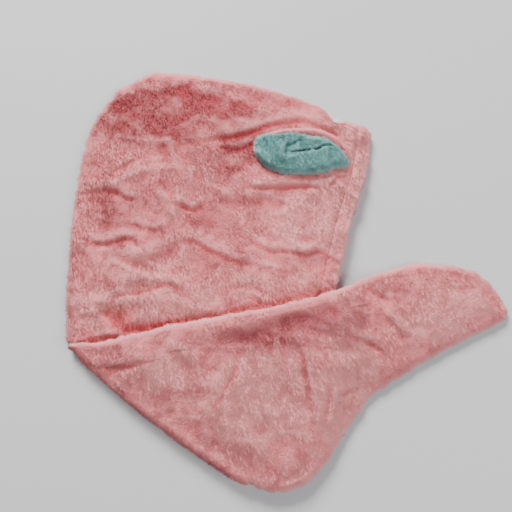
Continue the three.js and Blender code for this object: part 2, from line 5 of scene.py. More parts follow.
import bpy
import numpy as np
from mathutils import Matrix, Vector


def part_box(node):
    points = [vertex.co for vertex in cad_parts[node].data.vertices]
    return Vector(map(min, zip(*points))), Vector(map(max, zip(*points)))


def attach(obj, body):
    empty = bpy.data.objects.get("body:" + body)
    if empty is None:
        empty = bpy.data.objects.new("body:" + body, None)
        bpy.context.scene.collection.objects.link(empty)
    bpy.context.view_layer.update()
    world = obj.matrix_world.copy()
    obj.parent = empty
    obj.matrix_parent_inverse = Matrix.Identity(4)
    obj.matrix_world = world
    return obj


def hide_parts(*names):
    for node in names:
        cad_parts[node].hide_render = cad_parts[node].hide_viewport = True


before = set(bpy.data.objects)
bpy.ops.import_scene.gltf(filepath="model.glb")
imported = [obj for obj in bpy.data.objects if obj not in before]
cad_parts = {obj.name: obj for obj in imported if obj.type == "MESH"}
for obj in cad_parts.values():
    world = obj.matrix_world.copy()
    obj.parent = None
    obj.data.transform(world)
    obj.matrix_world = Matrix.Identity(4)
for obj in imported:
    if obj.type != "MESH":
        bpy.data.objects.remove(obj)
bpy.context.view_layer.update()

MM = 0.001

# The camera, at the photograph's angle, in pixels of its square frame, and the floor and the room
PICTURE_SIDE = 512
FOCAL_PIXELS = 560
SENSOR = 36.0
CAMERA_ELEVATION = math.radians(77)
CAMERA_DISTANCE = 516 * MM
CAMERA_AIM = Vector((-26.5, 8.9, 0)) * MM
FLOOR_SIZE = 6
ROOM_LIGHT = 0.28

# The towel's driving sizes in millimetres, and shares of them
TOWEL_LENGTH = 650
HOOD_WIDTH = 282
CLOTH = 3
SEAM_GAP = 0.3
EDGE_ROUND = 7
EDGE_SHARE = 0.3
OPENING_LENGTH = 280
HEM_WIDTH = 13
HEM_ROUND = 4
STITCH_DEPTH = 0.9
STITCH_WIDTH = 2.2
STITCH_PITCH = 3.6
STITCH_LENGTH = 2.7
THREAD_RADIUS = 0.32
THREAD_SIDES = 6
THREAD_TAPER = 0.15
HOOD_LOFT = 7.5
HOOD_RISE = 62
MOUTH_LOFT = 5.6
MOUTH_RISE = 55
TURN_RISE = 75
TAIL_LOFT = 4
TAIL_RISE = 30
LAY_GAP = 0.8
TAIL_DROP = 42
TAIL_PRESS = 0.5
FOLD_BOW = 5
FOLD_BOW_REACH = 50

EAR_LENGTH = 90
EAR_WIDTH = 43
EAR_TURN = math.radians(171)
EAR_CLOTH = 2.4
EAR_BASE = (0.917, 0.148)
EAR_GAP = 0.35
EAR_CLEAR = 0.85
EAR_CLEAR_RISE = 0.45
ROLL_HEIGHT = 4
ROLL_PLACE = 3.6
ROLL_WIDTH = 3.8
PUFF_HEIGHT = 2.6
PUFF_REACH = 13
EAR_UNEVEN = [(0.5, 9, 71), (0.25, 4, 72)]
# Painted shade in the lining's valleys and low places, and painted highlight on its crests
EAR_VALLEY_SHADE, EAR_LOW_SHADE, EAR_CREST_LIGHT = 0.35, 0.5, 1.3
EAR_RELIEF_ROUNDS = 8
TUCK = 1.6
LEAST_LINING = 0.6
BACK_GRID = (80, 48)
LINING_GRID = (110, 72)

BUTTON_DIAMETER = 20
BUTTON_THICKNESS = 2.4
BUTTON_REACH = 3
BUTTON_DISH = 0.5
HOLE_SPREAD = 2.3
BUTTON_FROM_NAPE = 32
BUTTON_ROOM = 8
BUTTON_RISE = 24
BUTTON_RIM = 1.9
DISH_SLOPE = 0.5
BUTTON_EDGE = 0.25
HOLE_RADIUS = 1.2
SHARP_ANGLE = math.radians(40)
BUTTON_SIDES = 64
HOLE_SIDES = 24

# Sections of the hood and the unfolded tail: back x, y and front x, y, as shares of its width and length
HOOD_SECTIONS = [
    (0.136, 0.027, 0.999, 0.1), (0.061, 0.078, 0.987, 0.134), (0.032, 0.123, 0.972, 0.165),
    (0.017, 0.172, 0.952, 0.192), (0.008, 0.227, 0.921, 0.232), (0.004, 0.283, 0.889, 0.281),
    (0.007, 0.345, 0.85, 0.351), (0.012, 0.37, 0.791, 0.454), (0.015, 0.386, 0.727, 0.553),
    (0.019, 0.398, 0.592, 0.58),
]
TAIL_SECTIONS = [
    (0.036, 0.442, 0.63, 0.632), (0.057, 0.502, 0.604, 0.679), (0.071, 0.568, 0.546, 0.717),
    (0.091, 0.634, 0.484, 0.753), (0.11, 0.705, 0.442, 0.783), (0.117, 0.774, 0.418, 0.827),
    (0.103, 0.843, 0.396, 0.871), (0.11, 0.901, 0.377, 0.925), (0.157, 0.954, 0.356, 0.99),
]

# How far the crown and the tip swell: share of the end section, share of the hood's width
CROWN_SWELL = [
    (0, 0), (0.04, 0.027), (0.08, 0.057), (0.12, 0.084), (0.17, 0.092), (0.3, 0.098), (0.5, 0.103),
    (0.61, 0.093), (0.71, 0.081), (0.81, 0.054), (0.855, 0.031), (0.91, 0.03), (0.965, 0.02), (1, 0),
]
TIP_SWELL = [(0, 0), (0.23, 0.029), (0.5, 0.038), (0.75, 0.031), (0.92, 0.02), (1, 0)]

# The hood's folds: path in the frame, ridge height and width, valley depth and width, the ridge's side
HOOD_FOLDS = [
    ([(-92, 114), (-65, 118), (-38, 123), (-9, 135), (16, 139), (39, 129), (57, 121)], 1.7, 15, 1.5, 3.2, 1),
    ([(-67, 111), (-42, 108), (-26, 117)], 0.8, 9, 0.8, 3, 1),
    ([(-160, 87), (-150, 93), (-139, 98)], 0.9, 7, 0.8, 2.6, 1),
    ([(-168, 68), (-156, 66), (-145, 60), (-131, 58)], 1.3, 8, 1.1, 3, 1),
    ([(-104, 56), (-93, 52), (-84, 49), (-71, 58)], 1.6, 9, 1.3, 3.2, 1),
    ([(-117, 76), (-109, 67), (-102, 58)], 1.0, 7, 0.8, 2.8, -1),
    ([(-105, 123), (-99, 108), (-93, 88)], 1.2, 7, 0.7, 4, -1),
    ([(-34, 69), (-15, 69), (5, 71), (37, 71)], 1.8, 10, 1.5, 2.4, 1),
    ([(-62, 58), (-32, 56), (0, 58)], 1.2, 13, 0.6, 6, 1),
    ([(-34, 21), (-19, 12), (0, 9), (19, 7), (30, 10), (40, 4), (49, -3)], 1.7, 10, 0.8, 2.6, 1),
    ([(-99, 17), (-85, 19), (-71, 11), (-56, 4), (-41, -1), (-26, -3)], 1.6, 11, 1.0, 3.2, 1),
    ([(-186, 24), (-176, 20), (-166, 17), (-154, 19), (-141, 21), (-129, 13)], 1.5, 9, 1.2, 3.2, 1),
    ([(-144, 37), (-129, 31), (-114, 29)], 1.1, 8, 0.8, 3.4, 1),
    ([(-147, -1), (-130, 0), (-113, 6), (-93, 17)], 1.6, 11, 0.7, 6, 1),
    ([(-157, -44), (-153, -34), (-147, -30), (-127, -28), (-103, -21), (-92, -31), (-66, -41)],
     1.4, 9, 1.0, 2.8, -1),
    ([(-178, -33), (-163, -45), (-152, -53), (-136, -65)], 1.7, 9, 0.2, 3, -1),
    ([(-155, -47), (-145, -56), (-132, -62), (-106, -60), (-75, -56), (-19, -45), (40, -29)],
     0.3, 10, 2.4, 8, 1),
    ([(-102, 176), (-96, 166), (-91, 150)], 0.3, 8, 0.5, 5, -1),
    ([(43, 86), (50, 82), (57, 82)], 0.5, 4, 1.2, 2, 1),
    ([(49, 81), (46, 76), (41, 72)], 0.6, 4, 1.0, 2, -1),
]

# Folds of the tail's top face, as it lies
TAIL_FOLDS = [
    ([(-41, -77), (-44, -95), (-53, -114), (-60, -127)], 0.9, 9, 1.0, 2.6, 1),
    ([(-64, -131), (-62, -143), (-59, -159)], 0.6, 7, 0.8, 2.4, -1),
    ([(-5, -65), (-3, -80), (-2, -95)], 0.8, 8, 0.9, 2.6, -1),
    ([(10, -76), (13, -86), (16, -107), (19, -127), (21, -146)], 1.2, 9, 1.5, 2.6, 1),
    ([(37, -107), (34, -123), (30, -144)], 1.2, 8, 1.4, 3.4, 1),
    ([(45, -116), (52, -113), (61, -109)], 0.9, 7, 1.0, 2.6, 1),
    ([(75, -25), (83, -30), (93, -36)], 1.2, 9, 1.2, 3.4, 1),
    ([(84, -45), (93, -54), (103, -68)], 1.4, 6, 0.6, 3, 1),
    ([(52, -66), (64, -69), (75, -74), (83, -79)], 1.4, 8, 1.4, 3.2, 1),
    ([(-177, -94), (-160, -92), (-141, -90), (-118, -86)], 1.8, 10, 1.8, 3.0, 1),
    ([(-80, -76), (-53, -72), (-36, -68), (-14, -60), (12, -53), (33, -46), (51, -42)], 2.8, 13, 2.4, 9, 1),
    ([(-109, -69), (-95, -82), (-82, -95)], 0.6, 8, 0.1, 4, 1),
    ([(-13, -189), (-3, -184), (9, -178), (26, -165)], 1.0, 7, 1.4, 4, -1),
    ([(34, -42), (46, -48)], 0.6, 7, 1.4, 4, 1),
    ([(16, -61), (28, -64), (40, -66)], 0.8, 8, 0.9, 4, 1),
]

# Patches of painted shade, or painted light below 0: x, y, half width, half height, strength, in the frame
HOOD_SHADE_PATCHES = [
    (-115, 145, 66, 36, 0.95), (-48, 140, 52, 24, 0.95), (-140, 158, 30, 14, 0.4), (-100, 160, 30, 22, 0.6),
    (-70, 148, 36, 20, 0.7), (-45, 130, 32, 18, 0.7), (-34, 122, 34, 34, 0.7), (-105, 118, 18, 24, 0.45),
    (-170, 70, 20, 44, 0.35), (-60, 100, 30, 20, 0.4), (-170, -20, 14, 11, 0.3), (-170, -62, 14, 7, 0.3),
    (-75, 40, 14, 12, 0.5), (-150, 40, 24, 24, 0.3), (-60, 0, 30, 12, 0.3), (40, -12, 14, 12, 0.3),
    (60, 106, 30, 34, -1.2), (50, 60, 26, 54, -1.2), (8, 44, 24, 24, -0.6), (-110, -38, 60, 18, -1.1),
    (-20, -14, 60, 18, -0.5), (-130, -5, 44, 20, -0.9), (-166, -42, 32, 28, -1.1), (68, 112, 18, 30, -0.6),
    (14, 20, 26, 16, -0.5),
]
# Patches of painted shade, redder, on the hood along the tail's upper edge: x, y, half width, half height,
# strength
HOOD_HOLLOW_SHADE = [
    (-146, -50, 17, 11, 0.5), (-124, -62, 26, 9, 0.45), (-84, -57, 36, 6, 0.45), (-172, -68, 12, 5, 0.5),
    (-20, -44, 44, 5, 0.35), (10, -30, 40, 10, 0.15),
]
TAIL_SHADE_PATCHES = [
    (-24, -69, 48, 12, 0.9), (20, -55, 38, 11, 0.9), (56, -51, 30, 11, 0.55), (98, -32, 28, 13, 0.45),
    (-140, -76, 24, 7, 0.3), (-56, -168, 24, 7, 0.15), (-12, -157, 30, 6, 0.3), (6, -182, 34, 12, -0.7),
    (-170, -96, 20, 8, 0.3), (50, -130, 34, 46, -1.2), (-28, -108, 46, 30, -1.1), (60, -90, 26, 24, -0.7),
    (128, -52, 44, 20, -0.6), (-98, -92, 26, 18, -0.9), (-20, -140, 50, 24, -0.4), (160, -35, 24, 18, -0.6),
    (-30, -120, 110, 70, -0.25), (110, -40, 80, 40, -0.2),
]

# How much the folds above grow, how high the unevenness between them is, and the crown's smooth spot
RIDGE_GAIN = 1.45
VALLEY_GAIN = 1.0
CRUMPLE_HEIGHT = 2.5
SMOOTH_SPOT = (-114, 156)
SMOOTH_REACH = 27
SMOOTH_SHARE = 0.85
TAIL_CRUMPLE = 0.6

# Every fold: points of its path, its fade at the ends, its ridge's offset and bank, its shade's reach
PATH_POINTS = 8
FOLD_FADE = 0.6
RIDGE_OFFSET = 1.3
RIDGE_BANK = 1.1
SHADE_REACH = 1.5
HOOD_FOLD_RISE = 9
TAIL_FOLD_RISE = 8
BARE_RISE = 6

# The unevenness: sizes and shares of its four kinds, and how it swirls, sharpens and stretches
SWELL_SIZE, RIDGE_SIZE, PUCKER_SIZE, RIPPLE_SIZE = 42, 33, 16, 8
SWELL_SHARE, RIDGE_SHARE, PUCKER_SHARE, RIPPLE_SHARE = 0.55, 0.4, 0.22, 0.12
SWIRL_SIZE = 40
SWIRL_REACH = 14
SHARPNESS = 2.6
RIDGE_STRETCH = (0.8, 1.35)
PUCKER_STRETCH = (0.75, 1.3)
NOISE_TABLE = 256

# Patches of painted shade and light: their ragged edges, solid core, fade and gain, and the pile's random
# strokes between them
RAGGED, RAGGED_SIZE = 0.35, 11
PATCH_CORE = 0.35
PATCH_FADE = 0.9
PATCH_GAIN = 1.2
LONG_STROKES, LONG_SIZE = 0.5, 26
SHORT_STROKES, SHORT_SIZE = 0.45, 9
STROKE_STRETCH = (0.7, 1.2)
HOOD_UNEVEN = 0.42
TAIL_UNEVEN = 0.3

# Painted shade and highlight: how much redder valleys, places under the tail and low places are, and how much
# paler crests are
HOOD_VALLEY_SHADE = 0.16
TAIL_VALLEY_SHADE = 0.06
CONTACT_SHADE = 0.4
CONTACT_SHADE_REACH = 5
HOOD_LOW_SHADE = 0.28
TAIL_LOW_SHADE = 0.1
MOST_SHADE = 0.75
CREST_LIGHT_GAIN = 0.9
RELIEF_ROUNDS = 14
RELIEF_RISE = 10

# Small corrections of the outline: x, y, shift in x and in y, reach, and 1 where the hood moves too
OUTLINE_NUDGES = [
    (-193, -62, 0, -9, 12, 1),
    (-192, -68, 5.5, 1.5, 16, 0),
    (-37, -190, 0, 1.6, 5, 1),
    (-29, -188, 0, -2.2, 5, 1),
    (-20, -190, 0, -1.6, 9, 1),
    (-2, -197, 0, 1.2, 14, 1),
    (50, 147, -0.6, -3.6, 9, 1),
    (56, 145, 0, -2.8, 8, 1),
    (70, 141, 0, -2.2, 10, 1),
]

# The ear's outlines: share of its length from the base, and where its two edges lie across it
LINING_EDGES = [
    (0, -1.5, -4.5), (0.05, 3, -7.5), (0.13, 10, -9.5), (0.23, 16, -14), (0.35, 18, -18), (0.48, 17.5, -21),
    (0.55, 20, -21.8), (0.61, 19.5, -22.3), (0.7, 17.5, -22.5), (0.8, 15.5, -20.5), (0.88, 13, -16.5),
    (0.94, 10, -12), (0.97, 7.5, -8.5), (0.99, 4, -4.5),
]
BACK_EDGES = [
    (0, 6, -4), (0.05, 14, -6.5), (0.13, 20, -8.5), (0.24, 24.8, -12.5), (0.4, 26.4, -17), (0.6, 24.6, -20.5),
    (0.75, 20, -20), (0.88, 14.5, -15), (0.96, 9, -9), (1, 3, -3),
]
EAR_FOLDS = [
    ([(60, -3.5), (54, -2.8), (47, -0.5), (35, 3), (30, 5), (25, 9), (18, 10.5), (11, 8)],
     0.9, 7, 2.2, 1.3, 1),
    ([(59.5, 2.5), (55, 5), (51, 9), (46, 13)], 0.3, 4, 1.1, 1.5, -1),
    ([(58, 8), (59.3, 2), (59.5, -5)], 0.7, 5, 0.9, 1.8, 1),
    ([(70, -6), (62, -13), (50, -16)], 0.3, 5, 0.4, 3, -1),
]

# How finely the cloth is divided: rows in millimetres, columns, points of an edge, extra rows at the ends
FINE = 1.9
COARSE = 7
COLUMNS = 160
EDGE_CROWDING = 0.45
EDGE_POINTS = 60
END_ROWS = (0.02, 0.05, 0.09)
TURN_ROWS = 12
TURN_EASE = 7
MEASURED_ROWS, MEASURED_COLUMNS, MEASURED_TURN = 241, 181, 61

# The pile: a tuft's size, lean and shading, how deep it may be pressed, and how many there are
TUFT_LENGTH = 2.3
TUFT_WIDTH = 0.6
TUFT_LEAN = math.radians(56)
TUFT_SINK = 0.5
TUFT_SHADING = 0.35
PRESSED = 0.25
TUFT_BASE = 1.25
EAR_BACK_TUFT = 2.1
EAR_LINING_TUFT = 2.7
HOOD_TUFTS = 49000
TAIL_TUFTS = 49000
TAIL_UNDER_TUFTS = 12000
HOOD_UNDER_TUFTS = 22000
EAR_BACK_TUFTS = 3000
EAR_LINING_TUFTS = 3600

# The sheets' maps: the share of each grid, and where its rims' strips start, step and end
GRID_SHARE = 0.47
RIM_START = 0.472
RIM_STEP = 0.014
RIM_WIDTH = 0.012

# The pile's lay: gain and size of its waves, the angle they start from, its spread, and more at edges
LAY_WAVES = [(1.9, 46), (1.1, 15), (1.0, 4.5)]
LAY_START = 1.7
LAY_SPREAD = 0.35
LAY_BRUSHED = 1.4
LEAN_SPREAD = 0.15
LEAN_WAVE = 0.2
CROWD_GAIN = 1.6
CROWD_REACH = 4
OUTWARD_REACH = 3.2
LENGTHS = (0.75, 1.2)
WIDTHS = (0.75, 1.3)
LENGTH_WAVE = 0.25
LEAN_SIZE, LENGTH_SIZE = 7, 5
RAGGED_EDGE = 0.6
EDGE_TRIM = 0.2
SHADING_SPREAD = 0.25


def smooth(x):
    """0 up to 0, 1 from 1, and a smooth step between."""
    x = np.clip(x, 0, 1)
    return x * x * (3 - 2 * x)


def lerp(a, b, share):
    return a + (b - a) * share


def unit(vectors):
    return vectors / np.maximum(np.linalg.norm(vectors, axis=-1, keepdims=True), 1e-9)


def bell(x):
    return np.exp(-x * x)


def place(x, y):
    """A place on the unfolded towel from its shares of the two driving sizes."""
    return np.stack([np.asarray(x, float) * HOOD_WIDTH, np.asarray(y, float) * -TOWEL_LENGTH], -1)


def along(points, index):
    """A smooth curve through a list of points, read at whole or broken indices."""
    points = np.asarray(points, float)
    index = np.asarray(index, float)
    last = len(points) - 1
    start = np.clip(np.floor(index).astype(int), 0, last - 1)
    f = (index - start)[..., None]
    a, b, c, d = (points[np.clip(start + k, 0, last)] for k in (-1, 0, 1, 2))
    out, into, rise = (c - a) / 2, (d - b) / 2, b - c
    return b + f * (out + f * (-3 * rise - 2 * out - into + f * (2 * rise + out + into)))


def read_table(table, share):
    """A table's second column, on a smooth curve, where its first reaches the shares given."""
    at, value = np.array(table, float).T
    after = np.clip(np.searchsorted(at, share), 1, len(at) - 1)
    index = after - 1 + (share - at[after - 1]) / (at[after] - at[after - 1])
    return along(value[:, None], index)[..., 0]


def nearest(line, spots):
    """For each spot: its distance from a line of points, the nearest point, its side, 1 left and -1 right
    of the line's run, and how far along the line it is, from 0 to 1."""
    shape = spots.shape[:-1]
    flat = spots.reshape(-1, 2)
    start, run = line[:-1], np.diff(line, axis=0)
    length = np.maximum((run**2).sum(1), 1e-12)
    found = []
    for chunk in np.array_split(flat, max(1, len(flat) // 4000)):
        off = chunk[:, None] - start
        share = np.clip((off * run).sum(2) / length, 0, 1)
        away = off - share[..., None] * run
        distance = (away**2).sum(2)
        k = distance.argmin(1)
        row = np.arange(len(chunk))
        side = np.sign(run[k, 0] * off[row, k, 1] - run[k, 1] * off[row, k, 0])
        point = start[k] + share[row, k, None] * run[k]
        found.append((np.sqrt(distance[row, k]), point, side, (k + share[row, k]) / len(run)))
    distance, point, side, share = (np.concatenate(part) for part in zip(*found))
    return distance.reshape(shape), point.reshape(*shape, 2), side.reshape(shape), share.reshape(shape)


def noise(spots, size, seed):
    """Smooth seeded noise from -1 to 1 whose patches are about size across."""
    table = np.random.default_rng(seed).uniform(-1, 1, (NOISE_TABLE, NOISE_TABLE))
    x, y = spots[..., 0] / size, spots[..., 1] / size
    i, j = np.floor(x).astype(int), np.floor(y).astype(int)
    u, v = smooth(x - i), smooth(y - j)
    left, right = i % NOISE_TABLE, (i + 1) % NOISE_TABLE
    near, far = j % NOISE_TABLE, (j + 1) % NOISE_TABLE
    a, b = table[left, near], table[right, near]
    c, d = table[left, far], table[right, far]
    return lerp(lerp(a, b, u), lerp(c, d, u), v)


# The fold: the tail turns over the last hood section's line, and starts where the turn ends
hood_sections = np.array(HOOD_SECTIONS)
tail_sections = np.array(TAIL_SECTIONS)
hood_back = place(hood_sections[:, 0], hood_sections[:, 1])
hood_front = place(hood_sections[:, 2], hood_sections[:, 3])
fold_back, fold_front = hood_back[-1], hood_front[-1]
fold_run = unit(fold_front - fold_back)
fold_out = np.array([fold_run[1], -fold_run[0]])
turn_radius = CLOTH + SEAM_GAP / 2 + LAY_GAP / 2
turn_length = math.pi * turn_radius
turn_shift = fold_out * turn_length
tail_back = np.vstack([fold_back + turn_shift, place(tail_sections[:, 0], tail_sections[:, 1])])
tail_front = np.vstack([fold_front + turn_shift, place(tail_sections[:, 2], tail_sections[:, 3])])
last_hood = len(hood_back) - 1
last_tail = len(tail_back) - 1


def past_fold(spots):
    """How far places on the unfolded towel are past the fold line."""
    return (spots - fold_back) @ fold_out


def folded(spots):
    """Where places of the tail lie once the tail is folded over."""
    return spots + fold_out * (turn_length - 2 * past_fold(spots))[..., None]


def cloth_points(back, front, rows, shares, table, section, way):
    """Points of the unfolded towel, a row for each index; the crown and the tip swell out."""
    rows = np.asarray(rows, float)
    a, b = along(back, rows)[:, None], along(front, rows)[:, None]
    run = unit(front[section] - back[section])
    out = np.array([-run[1], run[0]]) * way
    fade = np.maximum(0, 1 - abs(rows - section)) ** 2
    swell = read_table(table, shares) * HOOD_WIDTH * fade[:, None]
    return a + (b - a) * np.asarray(shares)[:, None] + out * swell[..., None]


def hood_points(rows, shares):
    return cloth_points(hood_back, hood_front, rows, shares, CROWN_SWELL, 0, 1)


def tail_points(rows, shares):
    return cloth_points(tail_back, tail_front, rows, shares, TIP_SWELL, last_tail, -1)


def evenly(start, end):
    return np.linspace(start, end, EDGE_POINTS + 1)


one, zero = np.array([1.0]), np.array([0.0])
front_edge = hood_points(evenly(0, last_hood), one)[:, 0]
walked = np.concatenate([[0], np.cumsum(np.linalg.norm(np.diff(front_edge, axis=0), axis=1))])
opening_end = int(np.argmax(walked > OPENING_LENGTH))
mouth_line = front_edge[:opening_end]
front_seam = np.vstack([front_edge[opening_end - 1:], tail_points(evenly(0, last_tail), one)[:, 0]])
crown_seam = hood_points([0.0], evenly(1, 0))[0]
other_seam = np.vstack([
    crown_seam,
    hood_points(evenly(0, last_hood), zero)[:, 0],
    tail_points(evenly(0, last_tail), zero)[:, 0],
    tail_points([float(last_tail)], evenly(0, 1))[0],
])
tail_upper_edge = folded(tail_points(evenly(0, last_tail), zero)[:, 0])

# The button lies under the crown seam near the nape
crown_width = np.linalg.norm(crown_seam[0] - crown_seam[-1])
button_seam = hood_points([0.0], [1 - BUTTON_FROM_NAPE / crown_width])[0, 0]
crown_run = unit(hood_front[0] - hood_back[0])
button_spot = button_seam + np.array([crown_run[1], -crown_run[0]]) * (BUTTON_DIAMETER / 2 - BUTTON_REACH)

# The ear's own directions: along from its base to its end, and across towards the crown
ear_base = place(*EAR_BASE)
ear_along = np.array([math.cos(EAR_TURN), math.sin(EAR_TURN)])
ear_across = np.array([ear_along[1], -ear_along[0]])


def seam_distance(spots):
    return np.minimum(nearest(front_seam, spots)[0], nearest(other_seam, spots)[0])


def rounded(distance, radius):
    """Share of the full thickness at a distance from an edge that is rounded."""
    q = np.minimum(1, distance / radius)
    return lerp(EDGE_SHARE, 1, np.sqrt(q * (2 - q)))


def lift(spots):
    """How far the hood is lifted by the button under it."""
    past = np.linalg.norm(spots - button_spot, axis=-1) - BUTTON_DIAMETER / 2 - BUTTON_ROOM
    return (BUTTON_THICKNESS + LAY_GAP) * (1 - smooth(past / BUTTON_RISE))


def bulged(flat, height):
    """Points in millimetres, with the fold's bulge: every layer near the fold moves out with it."""
    off = flat - fold_back
    share = np.clip(off @ fold_run / np.linalg.norm(fold_front - fold_back), 0, 1)
    fade = 1 - smooth(-(off @ fold_out) / FOLD_BOW_REACH)
    spot = flat + fold_out * (FOLD_BOW * fade * np.sin(math.pi * share))[..., None]
    return np.dstack([spot, height])


def nudged(points, turned):
    """Points with the small corrections of the outline."""
    spots = points[..., :2] + shift
    moved = np.zeros(spots.shape)
    for x, y, along_x, along_y, reach, hood_share in OUTLINE_NUDGES:
        near = bell(np.hypot(spots[..., 0] - x, spots[..., 1] - y) / reach) * lerp(hood_share, 1, turned)
        moved += near[..., None] * (along_x, along_y)
    return np.dstack([points[..., :2] + moved, points[..., 2]])


def frame_shift():
    """The move from the towel's own plane to the frame, where its box and the CAD panel's agree."""
    shares = np.linspace(0, 1, MEASURED_COLUMNS)
    hood = hood_points(np.linspace(0, last_hood, MEASURED_ROWS), shares)
    tail = folded(tail_points(np.linspace(0, last_tail, MEASURED_ROWS), shares))
    turn = fold_back + fold_out * (turn_radius + SEAM_GAP / 2 + CLOTH)
    fold_width = np.linalg.norm(fold_front - fold_back)
    turn = turn + fold_run * np.linspace(0, fold_width, MEASURED_TURN)[:, None]
    flat = np.vstack([p.reshape(-1, 2) for p in (hood, tail, turn)])[None]
    laid = bulged(flat, np.zeros(flat.shape[:-1]))[0, :, :2]
    low, high = (np.array(corner[:2]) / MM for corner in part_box("lower_panel"))
    return (low + high) / 2 - (laid.min(0) + laid.max(0)) / 2


shift = frame_shift()


def fold_shape(table, spots):
    """Height that a table's folds give places in the frame, and how deep in their valleys each lies."""
    height, hollow = np.zeros(spots.shape[:-1]), np.zeros(spots.shape[:-1])
    for path, ridge, ridge_width, valley, valley_width, side in table:
        line = along(np.array(path, float), np.linspace(0, len(path) - 1, PATH_POINTS * len(path)))
        distance, _, which, share = nearest(line, spots)
        window = np.sin(math.pi * np.clip(share, 0.02, 0.98)) ** FOLD_FADE
        signed = distance * which * side
        past = signed - RIDGE_OFFSET * valley_width
        bank = np.where(past < 0, bell(past / (RIDGE_BANK * valley_width)), bell(past / ridge_width))
        dip = bell(distance / valley_width)
        height += window * (RIDGE_GAIN * ridge * bank - VALLEY_GAIN * valley * dip)
        hollow += window * valley * bell(distance / (SHADE_REACH * valley_width))
    return height, hollow


def patch_shade(table, spots):
    """How much painted shade, or painted light below 0, the patches give places in the frame."""
    shade = np.zeros(spots.shape[:-1])
    ragged = noise(spots, RAGGED_SIZE, 5) * RAGGED
    for x, y, half_width, half_height, strength in table:
        reach = np.hypot((spots[..., 0] - x) / half_width, (spots[..., 1] - y) / half_height) + ragged
        shade += strength * (1 - smooth((reach - PATCH_CORE) / PATCH_FADE))
    return shade


def shade_and_nap(table, spots, seed, uneven):
    """How dark, or light below 0, a place is: patches of painted shade and light, and the pile's uneven
    strokes everywhere.
    """
    strokes = LONG_STROKES * noise(spots, LONG_SIZE, seed)
    strokes = strokes + SHORT_STROKES * noise(spots * STROKE_STRETCH, SHORT_SIZE, seed + 1)
    return np.clip(PATCH_GAIN * patch_shade(table, spots) + uneven * strokes, -1, 1)


def clear_of_ear(spots):
    """0 under the ear, rising to 1 away from it."""
    off = spots - (ear_base + ear_along * EAR_LENGTH / 2)
    reach = np.hypot(off @ ear_along / (EAR_LENGTH / 2 - 2), off @ ear_across / (EAR_WIDTH / 2 - 2))
    return smooth((reach - EAR_CLEAR) / EAR_CLEAR_RISE)


def crumple(spots, seed):
    """Soft unevenness, about 1 high, of cloth that was folded and laid down: swells, ridges, puckers."""
    swirl = np.stack([noise(spots, SWIRL_SIZE, seed + 1), noise(spots, SWIRL_SIZE, seed + 2)], -1)
    bent = spots + swirl * SWIRL_REACH
    ridges = 1 - SHARPNESS * abs(noise(bent * RIDGE_STRETCH, RIDGE_SIZE, seed + 3))
    puckers = 1 - SHARPNESS * abs(noise(bent * PUCKER_STRETCH, PUCKER_SIZE, seed + 5))
    swells, ripples = noise(bent, SWELL_SIZE, seed), noise(spots, RIPPLE_SIZE, seed + 4)
    rough = SWELL_SHARE * swells + RIDGE_SHARE * ridges
    return rough + PUCKER_SHARE * puckers + RIPPLE_SHARE * ripples


def relief(height, rounds):
    """How far each place of a grid lies below its neighbourhood."""
    soft = height
    for _ in range(rounds):
        wide = np.pad(soft, 1, mode="edge")
        soft = (wide[:-2, 1:-1] + wide[2:, 1:-1] + wide[1:-1, :-2] + wide[1:-1, 2:]) / 4
    return soft - height


def hood_hollow(spots):
    """The hollow between the hood's panels, with the folds, and the depth in their valleys."""
    open_share = smooth(seam_distance(spots) / HOOD_RISE) * smooth(-past_fold(spots) / TURN_RISE)
    mouth = smooth(nearest(mouth_line, spots)[0] / MOUTH_RISE)
    tail_away, _, tail_side, _ = nearest(tail_upper_edge, spots)
    under_tail = tail_side < 0
    pressed = np.where(under_tail, smooth(tail_away / TAIL_DROP), 0)
    bare = np.where(under_tail, 0, smooth(tail_away / BARE_RISE)) * clear_of_ear(spots)
    folds, hollow = fold_shape(HOOD_FOLDS, spots + shift)
    edge = smooth(seam_distance(spots) / HOOD_FOLD_RISE)
    loft = open_share * lerp(MOUTH_LOFT, HOOD_LOFT, mouth) * lerp(1, TAIL_PRESS, pressed)
    from_spot = np.linalg.norm(spots + shift - SMOOTH_SPOT, axis=-1)
    calm = 1 - SMOOTH_SHARE * bell(from_spot / SMOOTH_REACH)
    rough = folds + CRUMPLE_HEIGHT * calm * crumple(spots + shift, seed=11)
    return np.maximum(0, loft + edge * bare * rough), hollow * bare, tail_away, under_tail


def hood_top(spots):
    return lift(spots) + 2 * CLOTH + SEAM_GAP + hood_hollow(spots)[0]


def tail_rest(spots):
    """Height of the tail's under face: on the hood, and down to the surface past the hood's front edge."""
    away, point, side, _ = nearest(front_edge, spots)
    over = side <= 0
    on_hood = hood_top(np.where(over[..., None], spots, point)) + LAY_GAP
    return np.where(over, on_hood, on_hood * (1 - smooth((away - EDGE_ROUND / 2) / TAIL_DROP)))


